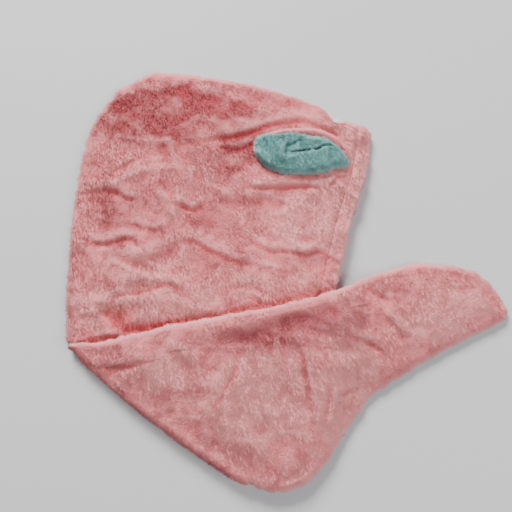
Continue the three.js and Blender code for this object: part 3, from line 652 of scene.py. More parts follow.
def hood_faces(spots):
    """The four faces of the panels above places of the hood, and what the pile needs to know there."""
    seam = seam_distance(spots)
    thick = CLOTH * rounded(seam, EDGE_ROUND)
    mouth = nearest(mouth_line, spots)[0]
    edge = CLOTH * (1 - rounded(mouth, HEM_ROUND)) / 2
    groove = STITCH_DEPTH * bell((mouth - HEM_WIDTH) / STITCH_WIDTH)
    inner = lift(spots) + CLOTH
    hollow, valley, tail_away, under_tail = hood_hollow(spots)
    contact = np.where(under_tail, 1, bell(tail_away / CONTACT_SHADE_REACH))
    bare = np.where(under_tail, 1 - smooth(tail_away / 4), 1.0)
    # Painted shade: redder in the folds' valleys, under the tail and along its edge
    red_shade = HOOD_VALLEY_SHADE * valley + CONTACT_SHADE * contact
    return {
        "lower_outer": bulged(spots, inner - thick + edge + groove),
        "lower_inner": bulged(spots, inner - edge),
        "upper_inner": bulged(spots, inner + SEAM_GAP + hollow + edge),
        "upper_outer": bulged(spots, inner + SEAM_GAP + hollow + thick - edge - groove),
        "edge": np.minimum(seam, mouth),
        "hollow": np.clip(red_shade + patch_shade(HOOD_HOLLOW_SHADE, spots + shift), 0, 1),
        # Painted shade, and painted light below 0, from the patches, and the pile's random strokes
        "nap_and_shade": shade_and_nap(HOOD_SHADE_PATCHES, spots + shift, seed=51, uneven=HOOD_UNEVEN),
        "turned": smooth(past_fold(spots) / TURN_EASE + 1),
        "top": hollow,
        "bare": bare * (1 - 0.5 * bell((mouth - HEM_WIDTH) / 1.2)),
    }


def turn_faces(spots, angle):
    """The four faces where the towel turns over: each goes round the fold's axis at its own radius."""
    seam = seam_distance(spots)
    thick = CLOTH * rounded(seam, EDGE_ROUND)
    start = spots - fold_out * past_fold(spots)[..., None]

    def face(radius):
        radius = np.broadcast_to(radius, angle.shape)
        flat = start + fold_out * (radius * np.sin(angle))[..., None]
        return bulged(flat, CLOTH + SEAM_GAP / 2 + turn_radius - radius * np.cos(angle))

    none = np.zeros(spots.shape[:-1])
    return {
        "lower_outer": face(turn_radius + SEAM_GAP / 2 + thick),
        "lower_inner": face(turn_radius + SEAM_GAP / 2),
        "upper_inner": face(turn_radius - SEAM_GAP / 2),
        "upper_outer": face(turn_radius - SEAM_GAP / 2 - thick),
        "edge": seam,
        "hollow": none,
        "nap_and_shade": none,
        "turned": none + 1,
        "top": none,
        "bare": none + 1,
    }


def tail_faces(spots):
    """The four faces above places of the folded tail, where the panels have changed places."""
    seam = seam_distance(spots)
    thick = CLOTH * rounded(seam, EDGE_ROUND)
    lying = folded(spots)
    inner = tail_rest(lying) + CLOTH
    opened = smooth(seam / TAIL_RISE) * smooth((past_fold(spots) - turn_length) / TAIL_RISE)
    folds, valley = fold_shape(TAIL_FOLDS, lying + shift)
    edge = smooth(seam / TAIL_FOLD_RISE)
    rough = folds + TAIL_CRUMPLE * CRUMPLE_HEIGHT * crumple(lying + shift, seed=31)
    outer = inner + SEAM_GAP + np.maximum(0, opened * TAIL_LOFT + edge * rough)
    return {
        "upper_outer": bulged(lying, inner - thick),
        "upper_inner": bulged(lying, inner),
        "lower_inner": bulged(lying, outer),
        "lower_outer": bulged(lying, outer + thick),
        "edge": seam,
        # Painted shade, a little redder, in the tail's valleys
        "hollow": np.clip(TAIL_VALLEY_SHADE * edge * valley, 0, 1),
        # Painted shade, and painted light below 0, from the patches, and the pile's random strokes
        "nap_and_shade": shade_and_nap(TAIL_SHADE_PATCHES, lying + shift, seed=61, uneven=TAIL_UNEVEN),
        "turned": np.ones(seam.shape),
        "top": outer,
        "bare": np.ones(seam.shape),
    }


def section_rows(back, front, spacing):
    """Row indices through a part of the towel, close enough that its longer side has the spacing given."""
    rows = [0.0]
    for k in range(len(back) - 1):
        length = max(np.linalg.norm(back[k + 1] - back[k]), np.linalg.norm(front[k + 1] - front[k]))
        count = max(2, math.ceil(length / spacing))
        rows += [k + (step + 1) / count for step in range(count)]
    return np.array(rows)


def column_shares():
    """Shares across a section, closer together near its edges."""
    even = np.linspace(0, 1, COLUMNS)
    return even - EDGE_CROWDING * np.sin(2 * math.pi * even) / (2 * math.pi)


def towel_part(hood_spacing, tail_spacing):
    """Every face of the towel as one grid, hood, turn and tail, with finer rows where they show."""
    shares = column_shares()
    rim = np.array(END_ROWS)
    hood_rows = np.sort(np.concatenate([section_rows(hood_back, hood_front, hood_spacing), rim]))
    tail_rows = np.sort(np.concatenate([section_rows(tail_back, tail_front, tail_spacing), last_tail - rim]))
    hood = hood_faces(hood_points(hood_rows, shares))
    steps = np.arange(1, TURN_ROWS) / TURN_ROWS
    line = hood_points([float(last_hood)], shares)[0]
    spots = line + turn_shift * steps[:, None, None]
    turn = turn_faces(spots, np.broadcast_to(steps[:, None] * math.pi, spots.shape[:-1]))
    tail = tail_faces(tail_points(tail_rows, shares))
    parts = [{key: part[key] for key in hood} for part in (hood, turn, tail)]
    whole = {key: np.concatenate([part[key] for part in parts]) for key in hood}
    for face in ("lower_outer", "lower_inner", "upper_inner", "upper_outer"):
        whole[face] = nudged(whole[face], whole["turned"])
    # Painted shade: places that lie below their neighbourhood get redder
    below = np.concatenate([relief(part["top"], RELIEF_ROUNDS) for part in parts])
    below *= smooth(whole["edge"] / RELIEF_RISE)
    low_shade = lerp(HOOD_LOW_SHADE, TAIL_LOW_SHADE, whole["turned"]) * np.clip(below, 0, 1)
    whole["hollow"] = np.clip(whole["hollow"] + low_shade, 0, MOST_SHADE)
    # Painted highlight: paler on crests, and painted light where the patches fall below 0
    whole["painted_light"] = np.clip(-CREST_LIGHT_GAIN * below + np.maximum(-whole["nap_and_shade"], 0), 0, 1)
    whole["nap_and_shade"] = np.maximum(whole["nap_and_shade"], 0)
    whole["hood_rows"] = len(hood_rows)
    return whole


def in_frame(points):
    """Millimetres of the towel's own plane to metres of the frame."""
    return (points + np.append(shift, 0)) * MM


class Field:
    """A number that varies over a surface: a socket that Python's arithmetic works on."""

    def __init__(self, finish, socket):
        self.finish = finish
        self.socket = socket

    def maths(self, operation, *values):
        names = dict(enumerate(values))
        return self.finish.node("ShaderNodeMath", {"operation": operation}, names)

    def __add__(self, other):
        return self.maths("ADD", self, other)

    def __radd__(self, other):
        return self.maths("ADD", other, self)

    def __sub__(self, other):
        return self.maths("SUBTRACT", self, other)

    def __rsub__(self, other):
        return self.maths("SUBTRACT", other, self)

    def __mul__(self, other):
        return self.maths("MULTIPLY", self, other)

    def __rmul__(self, other):
        return self.maths("MULTIPLY", other, self)

    def clamped(self):
        return self.finish.node("ShaderNodeClamp", {}, {"Value": self})


class Finish:
    """A material and the one method that makes its nodes."""

    def __init__(self, name, constants):
        self.material = bpy.data.materials.new(name)
        self.material.use_nodes = True
        self.tree = self.material.node_tree
        self.shader = self.tree.nodes["Principled BSDF"]
        for socket, value in constants.items():
            self.shader.inputs[socket].default_value = value

    def connect(self, socket, value):
        if isinstance(value, Field):
            self.tree.links.new(value.socket, socket)
        else:
            socket.default_value = value

    def node(self, kind, settings, sockets, output=0):
        made = self.tree.nodes.new(kind)
        for name, value in settings.items():
            setattr(made, name, value)
        for name, value in sockets.items():
            matches = [s for s in made.inputs if name in (s.identifier, s.name)]
            self.connect(made.inputs[name] if isinstance(name, int) else matches[0], value)
        outputs = [s for s in made.outputs if output in (s.identifier, s.name)]
        return Field(self, outputs[0] if outputs else made.outputs[output])

    def attribute(self, name):
        return self.node("ShaderNodeAttribute", {"attribute_name": name}, {}, "Fac")

    def noise(self, scale, detail=2.0, stretch=(1, 1, 1)):
        where = self.node("ShaderNodeTexCoord", {}, {}, "Object")
        where = self.node("ShaderNodeMapping", {}, {"Vector": where, "Scale": stretch})
        return self.node("ShaderNodeTexNoise", {}, {"Vector": where, "Scale": scale, "Detail": detail}, "Fac")

    def mix(self, a, b, share):
        sockets = {"Factor_Float": share, "A_Color": a, "B_Color": b}
        return self.node("ShaderNodeMix", {"data_type": "RGBA"}, sockets, "Result_Color")

    def set(self, socket, value):
        self.connect(self.shader.inputs[socket], value)


def colour(*rgb):
    """A screen colour, 0 to 255, as the linear one that a shader takes, by the sRGB curve."""
    def linear(c):
        c /= 255
        return c / 12.92 if c <= 0.04045 else ((c + 0.055) / 1.055) ** 2.4

    return (*map(linear, rgb), 1.0)


# Colours on screen of the threads and the floor
HEM_THREAD = (196, 92, 101)
BUTTON_THREAD = (232, 232, 230)
FLOOR_COLOUR = (214, 214, 217)

# The fleece's finish: the painted shade is redder on the hood and greyer on the tail's other face
HOOD_SHADE_COLOUR = (156, 71, 77)
TAIL_SHADE_COLOUR = (146, 84, 89)
MOTTLE_SCALE = 170
STREAK_SCALE = 420
STREAK_STRETCH = (1, 0.45, 1)
TONE_GAIN, TONE_START = 1.7, 0.35
# Shares of the painted shade from the patches, of the painted highlight on crests and at edges, of the
# painted shade on the cloth under the tufts and at their roots, of each tuft's own random tone, and of the
# painted highlight at the tips
NAP_SHADE_SHARE, NAP_SHADE_MOTTLE = 0.5, 0.9
CREST_LIGHT_SHARE = 0.75
RIM_HIGHLIGHT = 0.6
CLOTH_SHADE = 0.15
ROOT_SHADE = 0.19
OWN_DEEP = 0.1
TIP_HIGHLIGHT = 0.12
BUMP_HEIGHT = 0.8 * MM
FLEECE_FEEL = {
    "Roughness": 0.92,
    "Sheen Weight": 0.35,
    "Sheen Roughness": 0.45,
    "Specular IOR Level": 0.15,
}


def fleece(name, pale, light, mid, dark, deep, rim, on_tufts):
    """Plush fleece with painted shade and light: darker in shade patches and at the tufts' roots, redder in
    valleys and under the tail, paler on crests, at edges and at the tufts' tips.
    """
    finish = Finish(name, FLEECE_FEEL)
    finish.shader.inputs["Sheen Tint"].default_value = rim
    mottle = finish.noise(MOTTLE_SCALE, 3)
    tone = (TONE_GAIN * mottle - TONE_START).clamped()
    base = finish.mix(mid, light, tone)
    # Painted shade: darker in the shade patches and the pile's random strokes
    base = finish.mix(base, dark, (finish.attribute("nap_and_shade") * (NAP_SHADE_SHARE + NAP_SHADE_MOTTLE * mottle)).clamped())
    # Painted highlight: paler on crests and in the patches of painted light
    base = finish.mix(base, pale, (finish.attribute("painted_light") * CREST_LIGHT_SHARE).clamped())
    # Painted shade: redder in valleys, low places and under the tail
    base = finish.mix(base, deep, finish.attribute("hollow").clamped())
    # Painted highlight: paler near the edges, where the pile catches the light
    base = finish.mix(base, rim, (finish.attribute("rim") * RIM_HIGHLIGHT).clamped())
    if on_tufts:
        own = finish.attribute("tone")
        tip = finish.attribute("tip")
        # Painted shade at the tufts' roots, deep in the pile, with each tuft's own random tone
        base = finish.mix(base, deep, (ROOT_SHADE * (1 - tip) + OWN_DEEP * own).clamped())
        # Painted highlight: paler at the tufts' tips
        base = finish.mix(base, rim, (TIP_HIGHLIGHT * tip * (1 - own)).clamped())
    else:
        # Painted shade on the cloth under the tufts, deep in the pile
        base = finish.mix(base, deep, CLOTH_SHADE)
        streak = finish.noise(STREAK_SCALE, 2, STREAK_STRETCH)
        sockets = {"Strength": 0.5, "Distance": BUMP_HEIGHT, "Height": streak}
        finish.set("Normal", finish.node("ShaderNodeBump", {}, sockets, "Normal"))
    finish.set("Base Color", base)
    return finish.material


def pink(name, on_tufts, dark=HOOD_SHADE_COLOUR):
    return fleece(
        name,
        pale=colour(252, 174, 172),
        light=colour(246, 158, 160),
        mid=colour(230, 129, 133),
        dark=colour(*dark),
        deep=colour(216, 72, 81),
        rim=colour(250, 196, 194),
        on_tufts=on_tufts,
    )


def mint(name, on_tufts):
    return fleece(
        name,
        pale=colour(160, 206, 202),
        light=colour(142, 196, 192),
        mid=colour(108, 168, 165),
        dark=colour(70, 128, 126),
        deep=colour(32, 76, 76),
        rim=colour(190, 220, 216),
        on_tufts=on_tufts,
    )


def mesh_object(name, points, faces, material, shades=None):
    """A smooth mesh from points in metres and faces of equal length, with its shade attributes."""
    mesh = bpy.data.meshes.new(name)
    mesh.vertices.add(len(points))
    mesh.vertices.foreach_set("co", np.asarray(points, np.float32).ravel())
    mesh.loops.add(faces.size)
    mesh.loops.foreach_set("vertex_index", faces.astype(np.int32).ravel())
    mesh.polygons.add(len(faces))
    mesh.polygons.foreach_set("loop_start", np.arange(len(faces), dtype=np.int32) * faces.shape[1])
    mesh.polygons.foreach_set("use_smooth", np.ones(len(faces), bool))
    mesh.update(calc_edges=True)
    for key, values in (shades or {}).items():
        layer = mesh.attributes.new(key, "FLOAT", "POINT")
        layer.data.foreach_set("value", np.asarray(values, np.float32).ravel())
    mesh.materials.append(material)
    made = bpy.data.objects.new(name, mesh)
    bpy.context.scene.collection.objects.link(made)
    return made


def slab(name, over, under, material, shades):
    """A closed sheet between two grids of points; the first faces up where rows run towards the viewer."""
    rows, columns = over.shape[:2]
    index = np.arange(2 * rows * columns).reshape(2, rows, columns)
    top, bottom = index

    def quads(a, b, c, d):
        return np.stack([a, b, c, d], -1).reshape(-1, 4)

    faces = np.concatenate([
        quads(top[:-1, :-1], top[1:, :-1], top[1:, 1:], top[:-1, 1:]),
        quads(bottom[:-1, :-1], bottom[:-1, 1:], bottom[1:, 1:], bottom[1:, :-1]),
        quads(top[:-1, 0], bottom[:-1, 0], bottom[1:, 0], top[1:, 0]),
        quads(top[:-1, -1], top[1:, -1], bottom[1:, -1], bottom[:-1, -1]),
        quads(top[0, :-1], top[0, 1:], bottom[0, 1:], bottom[0, :-1]),
        quads(top[-1, :-1], bottom[-1, :-1], bottom[-1, 1:], top[-1, 1:]),
    ])
    points = np.concatenate([over.reshape(-1, 3), under.reshape(-1, 3)])
    doubled = {key: np.concatenate([value.ravel(), value.ravel()]) for key, value in shades.items()}
    made = mesh_object(name, in_frame(points), faces, material, doubled)
    sheet_map(made, faces, rows, columns)
    return made


def pile(name, grid, way, info, count, seed, material, length=TUFT_LENGTH):
    """Tufts on a face: each is a closed spike with three sides that leans the way the nap is brushed."""
    rng = np.random.default_rng(seed)
    normal = unit(np.cross(np.gradient(grid, axis=0), np.gradient(grid, axis=1)) * way)
    a, b, c, d = grid[:-1, :-1], grid[1:, :-1], grid[1:, 1:], grid[:-1, 1:]
    area = np.linalg.norm(np.cross(c - a, d - b), axis=-1) / 2
    crowd = 1 + CROWD_GAIN * bell(info["edge"] / CROWD_REACH)
    weight = area * (info["bare"] * crowd)[:-1, :-1]
    picked = rng.choice(weight.size, count, p=(weight / weight.sum()).ravel())
    i, j = np.unravel_index(picked, weight.shape)
    u, v = rng.random((2, count))

    def read(field):
        field = field if field.ndim == 3 else field[..., None]
        u3, v3 = u[:, None], v[:, None]
        near = lerp(field[i, j], field[i + 1, j], u3)
        return lerp(near, lerp(field[i, j + 1], field[i + 1, j + 1], u3), v3)

    root, up = read(grid), unit(read(normal))
    edge, hollow, nap_and_shade, painted_light = (read(info[key])[:, 0] for key in ("edge", "hollow", "nap_and_shade", "painted_light"))
    flat = root[:, :2]
    turn = sum(gain * noise(flat, size, seed + 1 + k) for k, (gain, size) in enumerate(LAY_WAVES))
    turn = turn - LAY_START + rng.normal(0, LAY_SPREAD, count) + LAY_BRUSHED * nap_and_shade
    brush = np.stack([np.cos(turn), np.sin(turn), np.zeros(count)], -1)
    outward = unit(up * (1, 1, 0))
    share = bell(edge / OUTWARD_REACH)[:, None]
    brush = unit(lerp(brush, outward, share))
    brush = unit(brush - up * (brush * up).sum(1)[:, None])
    lean = TUFT_LEAN + rng.normal(0, LEAN_SPREAD, count) + LEAN_WAVE * noise(flat, LEAN_SIZE, seed + 4)
    reach = length * rng.uniform(*LENGTHS, count) * (1 + LENGTH_WAVE * noise(flat, LENGTH_SIZE, seed + 5))
    reach *= 1 + bell(edge / 3) * (RAGGED_EDGE * noise(flat, LENGTH_SIZE, seed + 6) - EDGE_TRIM)
    half = TUFT_WIDTH * rng.uniform(*WIDTHS, count)
    tip = root + (up * np.cos(lean)[:, None] + brush * np.sin(lean)[:, None]) * reach[:, None]
    side = np.cross(up, brush)
    foot = root - up * TUFT_SINK
    corners = []
    for angle in (math.pi, math.pi / 3, -math.pi / 3):
        corners.append(foot + (brush * math.cos(angle) * TUFT_BASE + side * math.sin(angle)) * half[:, None])
    points = np.stack([*corners, tip], 1)
    points[..., 2] = np.maximum(points[..., 2], -PRESSED)
    first = np.arange(count)[:, None] * 4
    sides = [(0, 2, 3), (2, 1, 3), (1, 0, 3), (0, 1, 2)]
    faces = np.concatenate([first + np.array(corner_set) for corner_set in sides], 1).reshape(-1, 3)
    own = rng.random(count)
    # The tufts carry the cloth's painted shade and highlight, their own random tone, and which corner is the
    # tip
    shades = {
        "hollow": np.repeat(hollow, 4),
        "nap_and_shade": np.repeat(nap_and_shade, 4),
        "painted_light": np.repeat(painted_light, 4),
        "rim": np.repeat(bell(edge / 2), 4),
        "tone": np.repeat(own, 4),
        "tip": np.tile([0, 0, 0, 1.0], count),
    }
    made = mesh_object(name, in_frame(points.reshape(-1, 3)), faces, material, shades)
    lit = unit(up + TUFT_SHADING * (brush + rng.normal(0, SHADING_SPREAD, up.shape)))
    made.data.normals_split_custom_set_from_vertices(np.repeat(lit, 4, axis=0).tolist())
    bake_map(made, count, len(sides))
    return made


def sheet_map(made, faces, rows, columns):
    """A map of a slab: its upper grid above, its lower grid below, and its four rims as strips between."""
    grid = (rows - 1) * (columns - 1)
    side, row, column = np.unravel_index(faces, (2, rows, columns))
    along_rows, along_columns = row / (rows - 1), column / (columns - 1)
    places = np.stack([along_rows, GRID_SHARE * along_columns + (1 - GRID_SHARE) * (1 - side)], -1)
    first = 2 * grid
    for strip, (count, run) in enumerate([(rows - 1, along_rows)] * 2 + [(columns - 1, along_columns)] * 2):
        part = slice(first, first + count)
        places[part, :, 0] = run[part]
        places[part, :, 1] = RIM_START + RIM_STEP * strip + RIM_WIDTH * side[part]
        first += count
    layer = made.data.uv_layers.new(name="OFBake")
    layer.data.foreach_set("uv", places.astype(np.float32).ravel())


def bake_map(made, count, sides):
    """A map with a cell for each tuft, in which its base is the bottom edge and its tip the top."""
    across = math.ceil(math.sqrt(count))
    cell = np.stack([np.arange(count) % across, np.arange(count) // across], -1)
    side, base = [(0.1, 0.1), (0.9, 0.1), (0.5, 0.9)], [(0.1, 0.1), (0.9, 0.1), (0.5, 0.2)]
    corner = np.array([side] * (sides - 1) + [base])
    places = (cell[:, None, None] + corner) / across
    layer = made.data.uv_layers.new(name="OFBake")
    layer.data.foreach_set("uv", places.astype(np.float32).ravel())


def shades_of(info):
    """The painted shade and highlight that the cloth's finish reads at each place."""
    return {**{key: info[key] for key in ("hollow", "nap_and_shade", "painted_light")}, "rim": bell(info["edge"] / 2)}


def rows_of(part, start, end):
    """Some rows of a towel part."""
    return {key: value[start:end] for key, value in part.items() if isinstance(value, np.ndarray)}


def threads(name, starts, ends, radius, material):
    """Short threads, each a closed spindle, as one mesh."""
    starts, ends = np.asarray(starts, float), np.asarray(ends, float)
    run = unit(ends - starts)
    side = unit(np.cross(run, np.where(abs(run[:, 2:]) > 0.9, (1.0, 0, 0), (0, 0, 1.0))))
    other = np.cross(run, side)
    rings = []
    for share in (THREAD_TAPER, 1 - THREAD_TAPER):
        for k in range(THREAD_SIDES):
            turn = 2 * math.pi * k / THREAD_SIDES
            around = side * math.cos(turn) + other * math.sin(turn)
            rings.append(lerp(starts, ends, share) + radius * around)
    points = np.stack([starts, *rings, ends], 1)
    sides = []
    last = 2 * THREAD_SIDES + 1
    for k in range(THREAD_SIDES):
        a, b = 1 + k, 1 + (k + 1) % THREAD_SIDES
        c, d = a + THREAD_SIDES, b + THREAD_SIDES
        sides += [(0, b, a), (a, b, d), (a, d, c), (c, d, last)]
    first = (last + 1) * np.arange(len(starts))[:, None]
    faces = np.concatenate([first + np.array(corners) for corners in sides], 1).reshape(-1, 3)
    return mesh_object(name, in_frame(points.reshape(-1, 3)), faces, material)


def make_stitches():
    """The hem's seam along the mouth, on the hood's upper face."""
    finish = Finish("hem_thread", {"Roughness": 0.6})
    finish.set("Base Color", colour(*HEM_THREAD))
    run = np.gradient(mouth_line, axis=0)
    inward = unit(np.stack([run[:, 1], -run[:, 0]], -1))
    line = mouth_line + inward * HEM_WIDTH
    length = np.concatenate([[0], np.cumsum(np.linalg.norm(np.diff(line, axis=0), axis=1))])
    count = int(length[-1] / STITCH_PITCH)
    at = np.arange(count)[:, None] * STITCH_PITCH + np.array([0, STITCH_LENGTH])
    spots = np.stack([np.interp(at, length, line[:, k]) for k in range(2)], -1)
    faces = hood_faces(spots)
    raised = nudged(faces["upper_outer"], faces["turned"])
    raised[..., 2] += THREAD_RADIUS / 2
    shown = nearest(tail_upper_edge, spots[:, 0])[2] > 0
    return threads("hem_stitches", raised[shown, 0], raised[shown, 1], THREAD_RADIUS, finish.material)


def make_camera():
    data = bpy.data.cameras.new("photo_camera")
    data.sensor_width = SENSOR
    data.lens = SENSOR * FOCAL_PIXELS / PICTURE_SIDE
    camera = bpy.data.objects.new("photo_camera", data)
    back = Vector((0, -math.cos(CAMERA_ELEVATION), math.sin(CAMERA_ELEVATION)))
    camera.location = CAMERA_AIM + back * CAMERA_DISTANCE
    camera.rotation_euler = (math.pi / 2 - CAMERA_ELEVATION, 0, 0)
    bpy.context.scene.collection.objects.link(camera)
    bpy.context.scene.camera = camera


def make_floor():
    finish = Finish("pale_floor", {"Roughness": 0.6, "Specular IOR Level": 0.25})
    finish.set("Base Color", colour(*FLOOR_COLOUR))
    bpy.ops.mesh.primitive_plane_add(size=FLOOR_SIZE, location=(0, 0, 0))
    floor = bpy.context.object
    floor.name = "floor"
    floor.data.materials.append(finish.material)


def add_light(name, size, power, location, tint):
    """A square lamp that looks at the towel."""
    data = bpy.data.lights.new(name, "AREA")
    data.size = size
    data.energy = power
    data.color = tint
    lamp = bpy.data.objects.new(name, data)
    lamp.location = location
    lamp.rotation_euler = (-Vector(location)).to_track_quat("-Z", "Y").to_euler()
    bpy.context.scene.collection.objects.link(lamp)


def make_light():
    add_light("window", size=1.1, power=174, location=(-0.9, 2.4, 1.7), tint=(1.0, 0.99, 0.97))
    add_light("fill", size=1.6, power=50, location=(1.9, -1.2, 1.9), tint=(0.98, 0.99, 1.0))
    world = bpy.data.worlds.new("soft_room")
    world.use_nodes = True
    world.node_tree.nodes["Background"].inputs["Color"].default_value = (1, 1, 1, 1)
    world.node_tree.nodes["Background"].inputs["Strength"].default_value = ROOM_LIGHT
    bpy.context.scene.world = world


def make_panels():
    """Both panels and the pile of their outer faces."""
    cloth, tufts = pink("fleece_pink", False), pink("fleece_pink_pile", True)
    tail_cloth, tail_tufts = pink("tail_pink", False, TAIL_SHADE_COLOUR), pink("tail_pink_pile", True, TAIL_SHADE_COLOUR)
    upper, lower = towel_part(FINE, COARSE), towel_part(COARSE, FINE)
    outer, inner = upper["upper_outer"], upper["upper_inner"]
    upper_sheet = slab("upper_panel_fleece", outer, inner, cloth, shades_of(upper))
    inner, outer = lower["lower_inner"], lower["lower_outer"]
    lower_sheet = slab("lower_panel_fleece", inner, outer, tail_cloth, shades_of(lower))
    hood, tail_under = rows_of(upper, 0, upper["hood_rows"]), rows_of(upper, upper["hood_rows"], None)
    hood_under, tail = rows_of(lower, 0, lower["hood_rows"]), rows_of(lower, lower["hood_rows"], None)
    upper_piles = [
        pile("hood_pile", hood["upper_outer"], 1, hood, HOOD_TUFTS, 3, tufts),
        pile("tail_under_pile", tail_under["upper_outer"], 1, tail_under, TAIL_UNDER_TUFTS, 4, tufts),
    ]
    lower_piles = [
        pile("tail_pile", tail["lower_outer"], -1, tail, TAIL_TUFTS, 5, tail_tufts),
        pile("hood_under_pile", hood_under["lower_outer"], -1, hood_under, HOOD_UNDER_TUFTS, 6, tufts),
    ]
    return upper_sheet, lower_sheet, upper_piles, lower_piles


def ear_grid(table, count, columns):
    """Places over the ear between the edges that a table gives, in rows along it: where along and
    across it each lies in millimetres, and how far it is from the edge."""
    steps = (1 - np.cos(np.linspace(0, math.pi, count))) / 2
    at = lerp(table[0][0], table[-1][0], steps)
    upper, lower = (read_table([(row[0], row[k]) for row in table], at) for k in (1, 2))
    share = np.linspace(0, 1, columns)
    across = lerp(upper[:, None], lower[:, None], share)
    length = np.broadcast_to(at[:, None] * EAR_LENGTH, across.shape)
    ends = (length - table[0][0] * EAR_LENGTH, table[-1][0] * EAR_LENGTH - length)
    edge = np.minimum(np.minimum(across - lower[:, None], upper[:, None] - across), np.minimum(*ends))
    return np.stack([length, across], -1), np.maximum(edge, 0)


def on_ear(places, height):
    """Points at heights above the hood from places along and across the ear."""
    spots = ear_base + ear_along * places[..., :1] + ear_across * places[..., 1:]
    return np.dstack([spots, hood_top(spots) + LAY_GAP + height])


def make_ear():
    """The ear's pink back with its rolled rim, and its mint lining with the pleat, both with their pile."""
    cloth, tufts = pink("ear_pink", False), pink("ear_pink_pile", True)
    green, green_tufts = mint("fleece_mint", False), mint("fleece_mint_pile", True)

    places, edge = ear_grid(BACK_EDGES, *BACK_GRID)
    roll = np.sin(math.pi * np.clip(places[..., 0] / EAR_LENGTH, 0, 1)) ** 0.5
    roll = ROLL_HEIGHT * roll * bell((edge - ROLL_PLACE) / ROLL_WIDTH) * smooth(places[..., 1] / 4)
    over = on_ear(places, EAR_CLOTH * rounded(edge, 2) + roll)
    none = 0 * edge
    info = {"edge": edge, "hollow": none, "nap_and_shade": none, "painted_light": none, "bare": 1 + none}
    back = slab("ear_back_fleece", over, on_ear(places, none), cloth, shades_of(info))
    back_pile = pile("ear_back_pile", over, 1, info, EAR_BACK_TUFTS, 21, tufts, EAR_BACK_TUFT)

    places, edge = ear_grid(LINING_EDGES, *LINING_GRID)
    inside = np.clip(edge / PUFF_REACH, 0, 1)
    puff = np.sqrt(inside * (2 - inside))
    folds, valley = fold_shape(EAR_FOLDS, places)
    padded = EAR_CLOTH * lerp(0.15, 1, puff) + PUFF_HEIGHT * puff
    uneven = sum(gain * noise(places, size, seed) for gain, size, seed in EAR_UNEVEN)
    height = padded + (folds + uneven) * smooth(edge / 5)
    tuck = TUCK * (1 - smooth(edge / 4)) * (places[..., 1] < 0)
    under = EAR_CLOTH + EAR_GAP - tuck
    over = on_ear(places, under + np.maximum(height, LEAST_LINING))
    below = relief(height, EAR_RELIEF_ROUNDS) * smooth(edge / 5)
    # Painted shade on the lining: redder in its valleys and low places, darker towards the crown side, also
    # in random patches; painted highlight, paler, on its crests
    info = {
        "edge": edge,
        "hollow": np.clip(EAR_VALLEY_SHADE * valley + EAR_LOW_SHADE * np.clip(below, 0, 1), 0, 1),
        "nap_and_shade": np.clip(0.4 * smooth(places[..., 1] / 9) + 0.35 * np.maximum(0, noise(places, 10, 73)), 0, 1),
        "painted_light": np.clip(-EAR_CREST_LIGHT * below, 0, 1),
        "bare": 1 - 0.6 * np.clip(0.4 * valley, 0, 1),
    }
    lining = slab("ear_lining_fleece", over, on_ear(places, under), green, shades_of(info))
    lining_pile = pile("ear_lining_pile", over, 1, info, EAR_LINING_TUFTS, 22, green_tufts, EAR_LINING_TUFT)
    return back, back_pile, lining, lining_pile


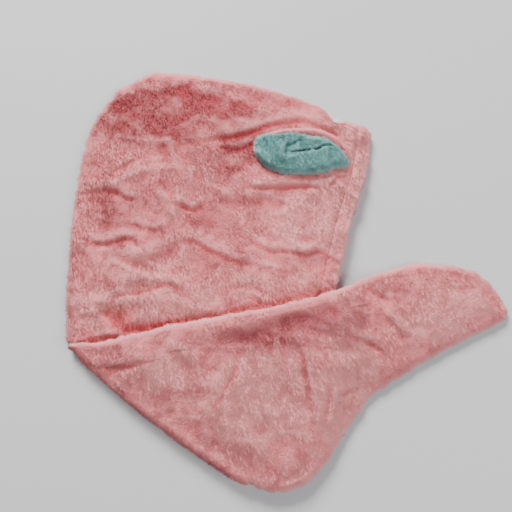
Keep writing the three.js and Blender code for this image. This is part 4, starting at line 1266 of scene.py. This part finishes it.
def make_button():
    """A round four-hole button with a rim and a dish on both faces."""
    low, high = (Vector(corner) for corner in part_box("button"))
    middle = (low + high) / 2
    radius, height = BUTTON_DIAMETER / 2 * MM, high.z - low.z
    bpy.ops.object.select_all(action="DESELECT")
    bpy.ops.mesh.primitive_cylinder_add(vertices=BUTTON_SIDES, radius=radius, depth=height, location=middle)
    made = bpy.context.object
    made.name = "button_dish"
    bpy.ops.object.mode_set(mode="EDIT")
    bpy.ops.mesh.select_all(action="DESELECT")
    bpy.ops.object.mode_set(mode="OBJECT")
    for face in made.data.polygons:
        face.select = abs(face.normal.z) > 0.9
    bpy.ops.object.mode_set(mode="EDIT")
    bpy.ops.mesh.inset(thickness=BUTTON_RIM * MM, depth=0)
    bpy.ops.mesh.inset(thickness=DISH_SLOPE * MM, depth=-BUTTON_DISH * MM)
    bpy.ops.object.mode_set(mode="OBJECT")
    holes = []
    for k in range(4):
        spot = middle + Vector((1 - k % 2 * 2, 1 - k // 2 * 2, 0)) * HOLE_SPREAD * MM
        bpy.ops.object.select_all(action="DESELECT")
        bpy.ops.mesh.primitive_cylinder_add(
            vertices=HOLE_SIDES, radius=HOLE_RADIUS * MM, depth=4 * height, location=spot)
        holes.append(bpy.context.object)
    for hole in holes:
        cut = made.modifiers.new("hole", "BOOLEAN")
        cut.operation = "DIFFERENCE"
        cut.solver = "EXACT"
        cut.object = hole
    soft = made.modifiers.new("soft_edges", "BEVEL")
    soft.width = BUTTON_EDGE * MM
    soft.segments = 3
    soft.limit_method = "ANGLE"
    bpy.context.view_layer.objects.active = made
    for modifier in list(made.modifiers):
        bpy.ops.object.modifier_apply(modifier=modifier.name)
    for hole in holes:
        bpy.data.objects.remove(hole)
    bpy.ops.object.select_all(action="DESELECT")
    made.select_set(True)
    bpy.ops.object.transform_apply(location=True, rotation=True, scale=True)
    bpy.ops.object.shade_smooth_by_angle(angle=SHARP_ANGLE)
    made.data.materials.clear()
    made.data.materials.append(button_plastic())
    return made


def make_button_thread():
    """Two threads across the button's outer face, and four through its holes into the cloth."""
    finish = Finish("button_thread", {"Roughness": 0.6})
    finish.set("Base Color", colour(*BUTTON_THREAD))
    low, high = (np.array(corner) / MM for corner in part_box("button"))
    middle = (low + high) / 2 - np.append(shift, 0)
    outer, cloth = BUTTON_DISH - THREAD_RADIUS, BUTTON_THICKNESS + LAY_GAP
    starts, ends = [], []
    for across in (-1, 1):
        holes = [middle[:2] + HOLE_SPREAD * np.array([across, along]) for along in (-1, 1)]
        starts.append((*holes[0], outer))
        ends.append((*holes[1], outer))
        for hole in holes:
            starts.append((*hole, outer))
            ends.append((*hole, cloth + THREAD_RADIUS))
    return threads("button_thread", starts, ends, THREAD_RADIUS, finish.material)


def button_plastic():
    """Milky plastic with faint clouds."""
    finish = Finish("button_white", {"Roughness": 0.22, "Coat Weight": 0.3, "Subsurface Weight": 0.2})
    finish.shader.inputs["Subsurface Radius"].default_value = (0.002, 0.002, 0.002)
    cloud = finish.noise(260, 2)
    finish.set("Base Color", finish.mix(colour(226, 231, 234), colour(243, 245, 246), cloud))
    return finish.material


def finish_piece(piece, node=None):
    """The piece rides with the towel and stands for its CAD node, which it hides."""
    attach(piece, "root")
    if node:
        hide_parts(node)


make_camera()
make_floor()
make_light()

upper_sheet, lower_sheet, upper_piles, lower_piles = make_panels()
ear_back, ear_back_pile, ear_lining, ear_lining_pile = make_ear()
button = make_button()
hem_stitches = make_stitches()
button_thread = make_button_thread()

finish_piece(upper_sheet, "upper_panel")
finish_piece(lower_sheet, "lower_panel")
finish_piece(ear_back, "ear_back")
finish_piece(ear_lining, "ear_lining")
finish_piece(button, "button")
for piece in [*upper_piles, *lower_piles, ear_back_pile]:
    finish_piece(piece)
finish_piece(ear_lining_pile)
finish_piece(hem_stitches)
finish_piece(button_thread)
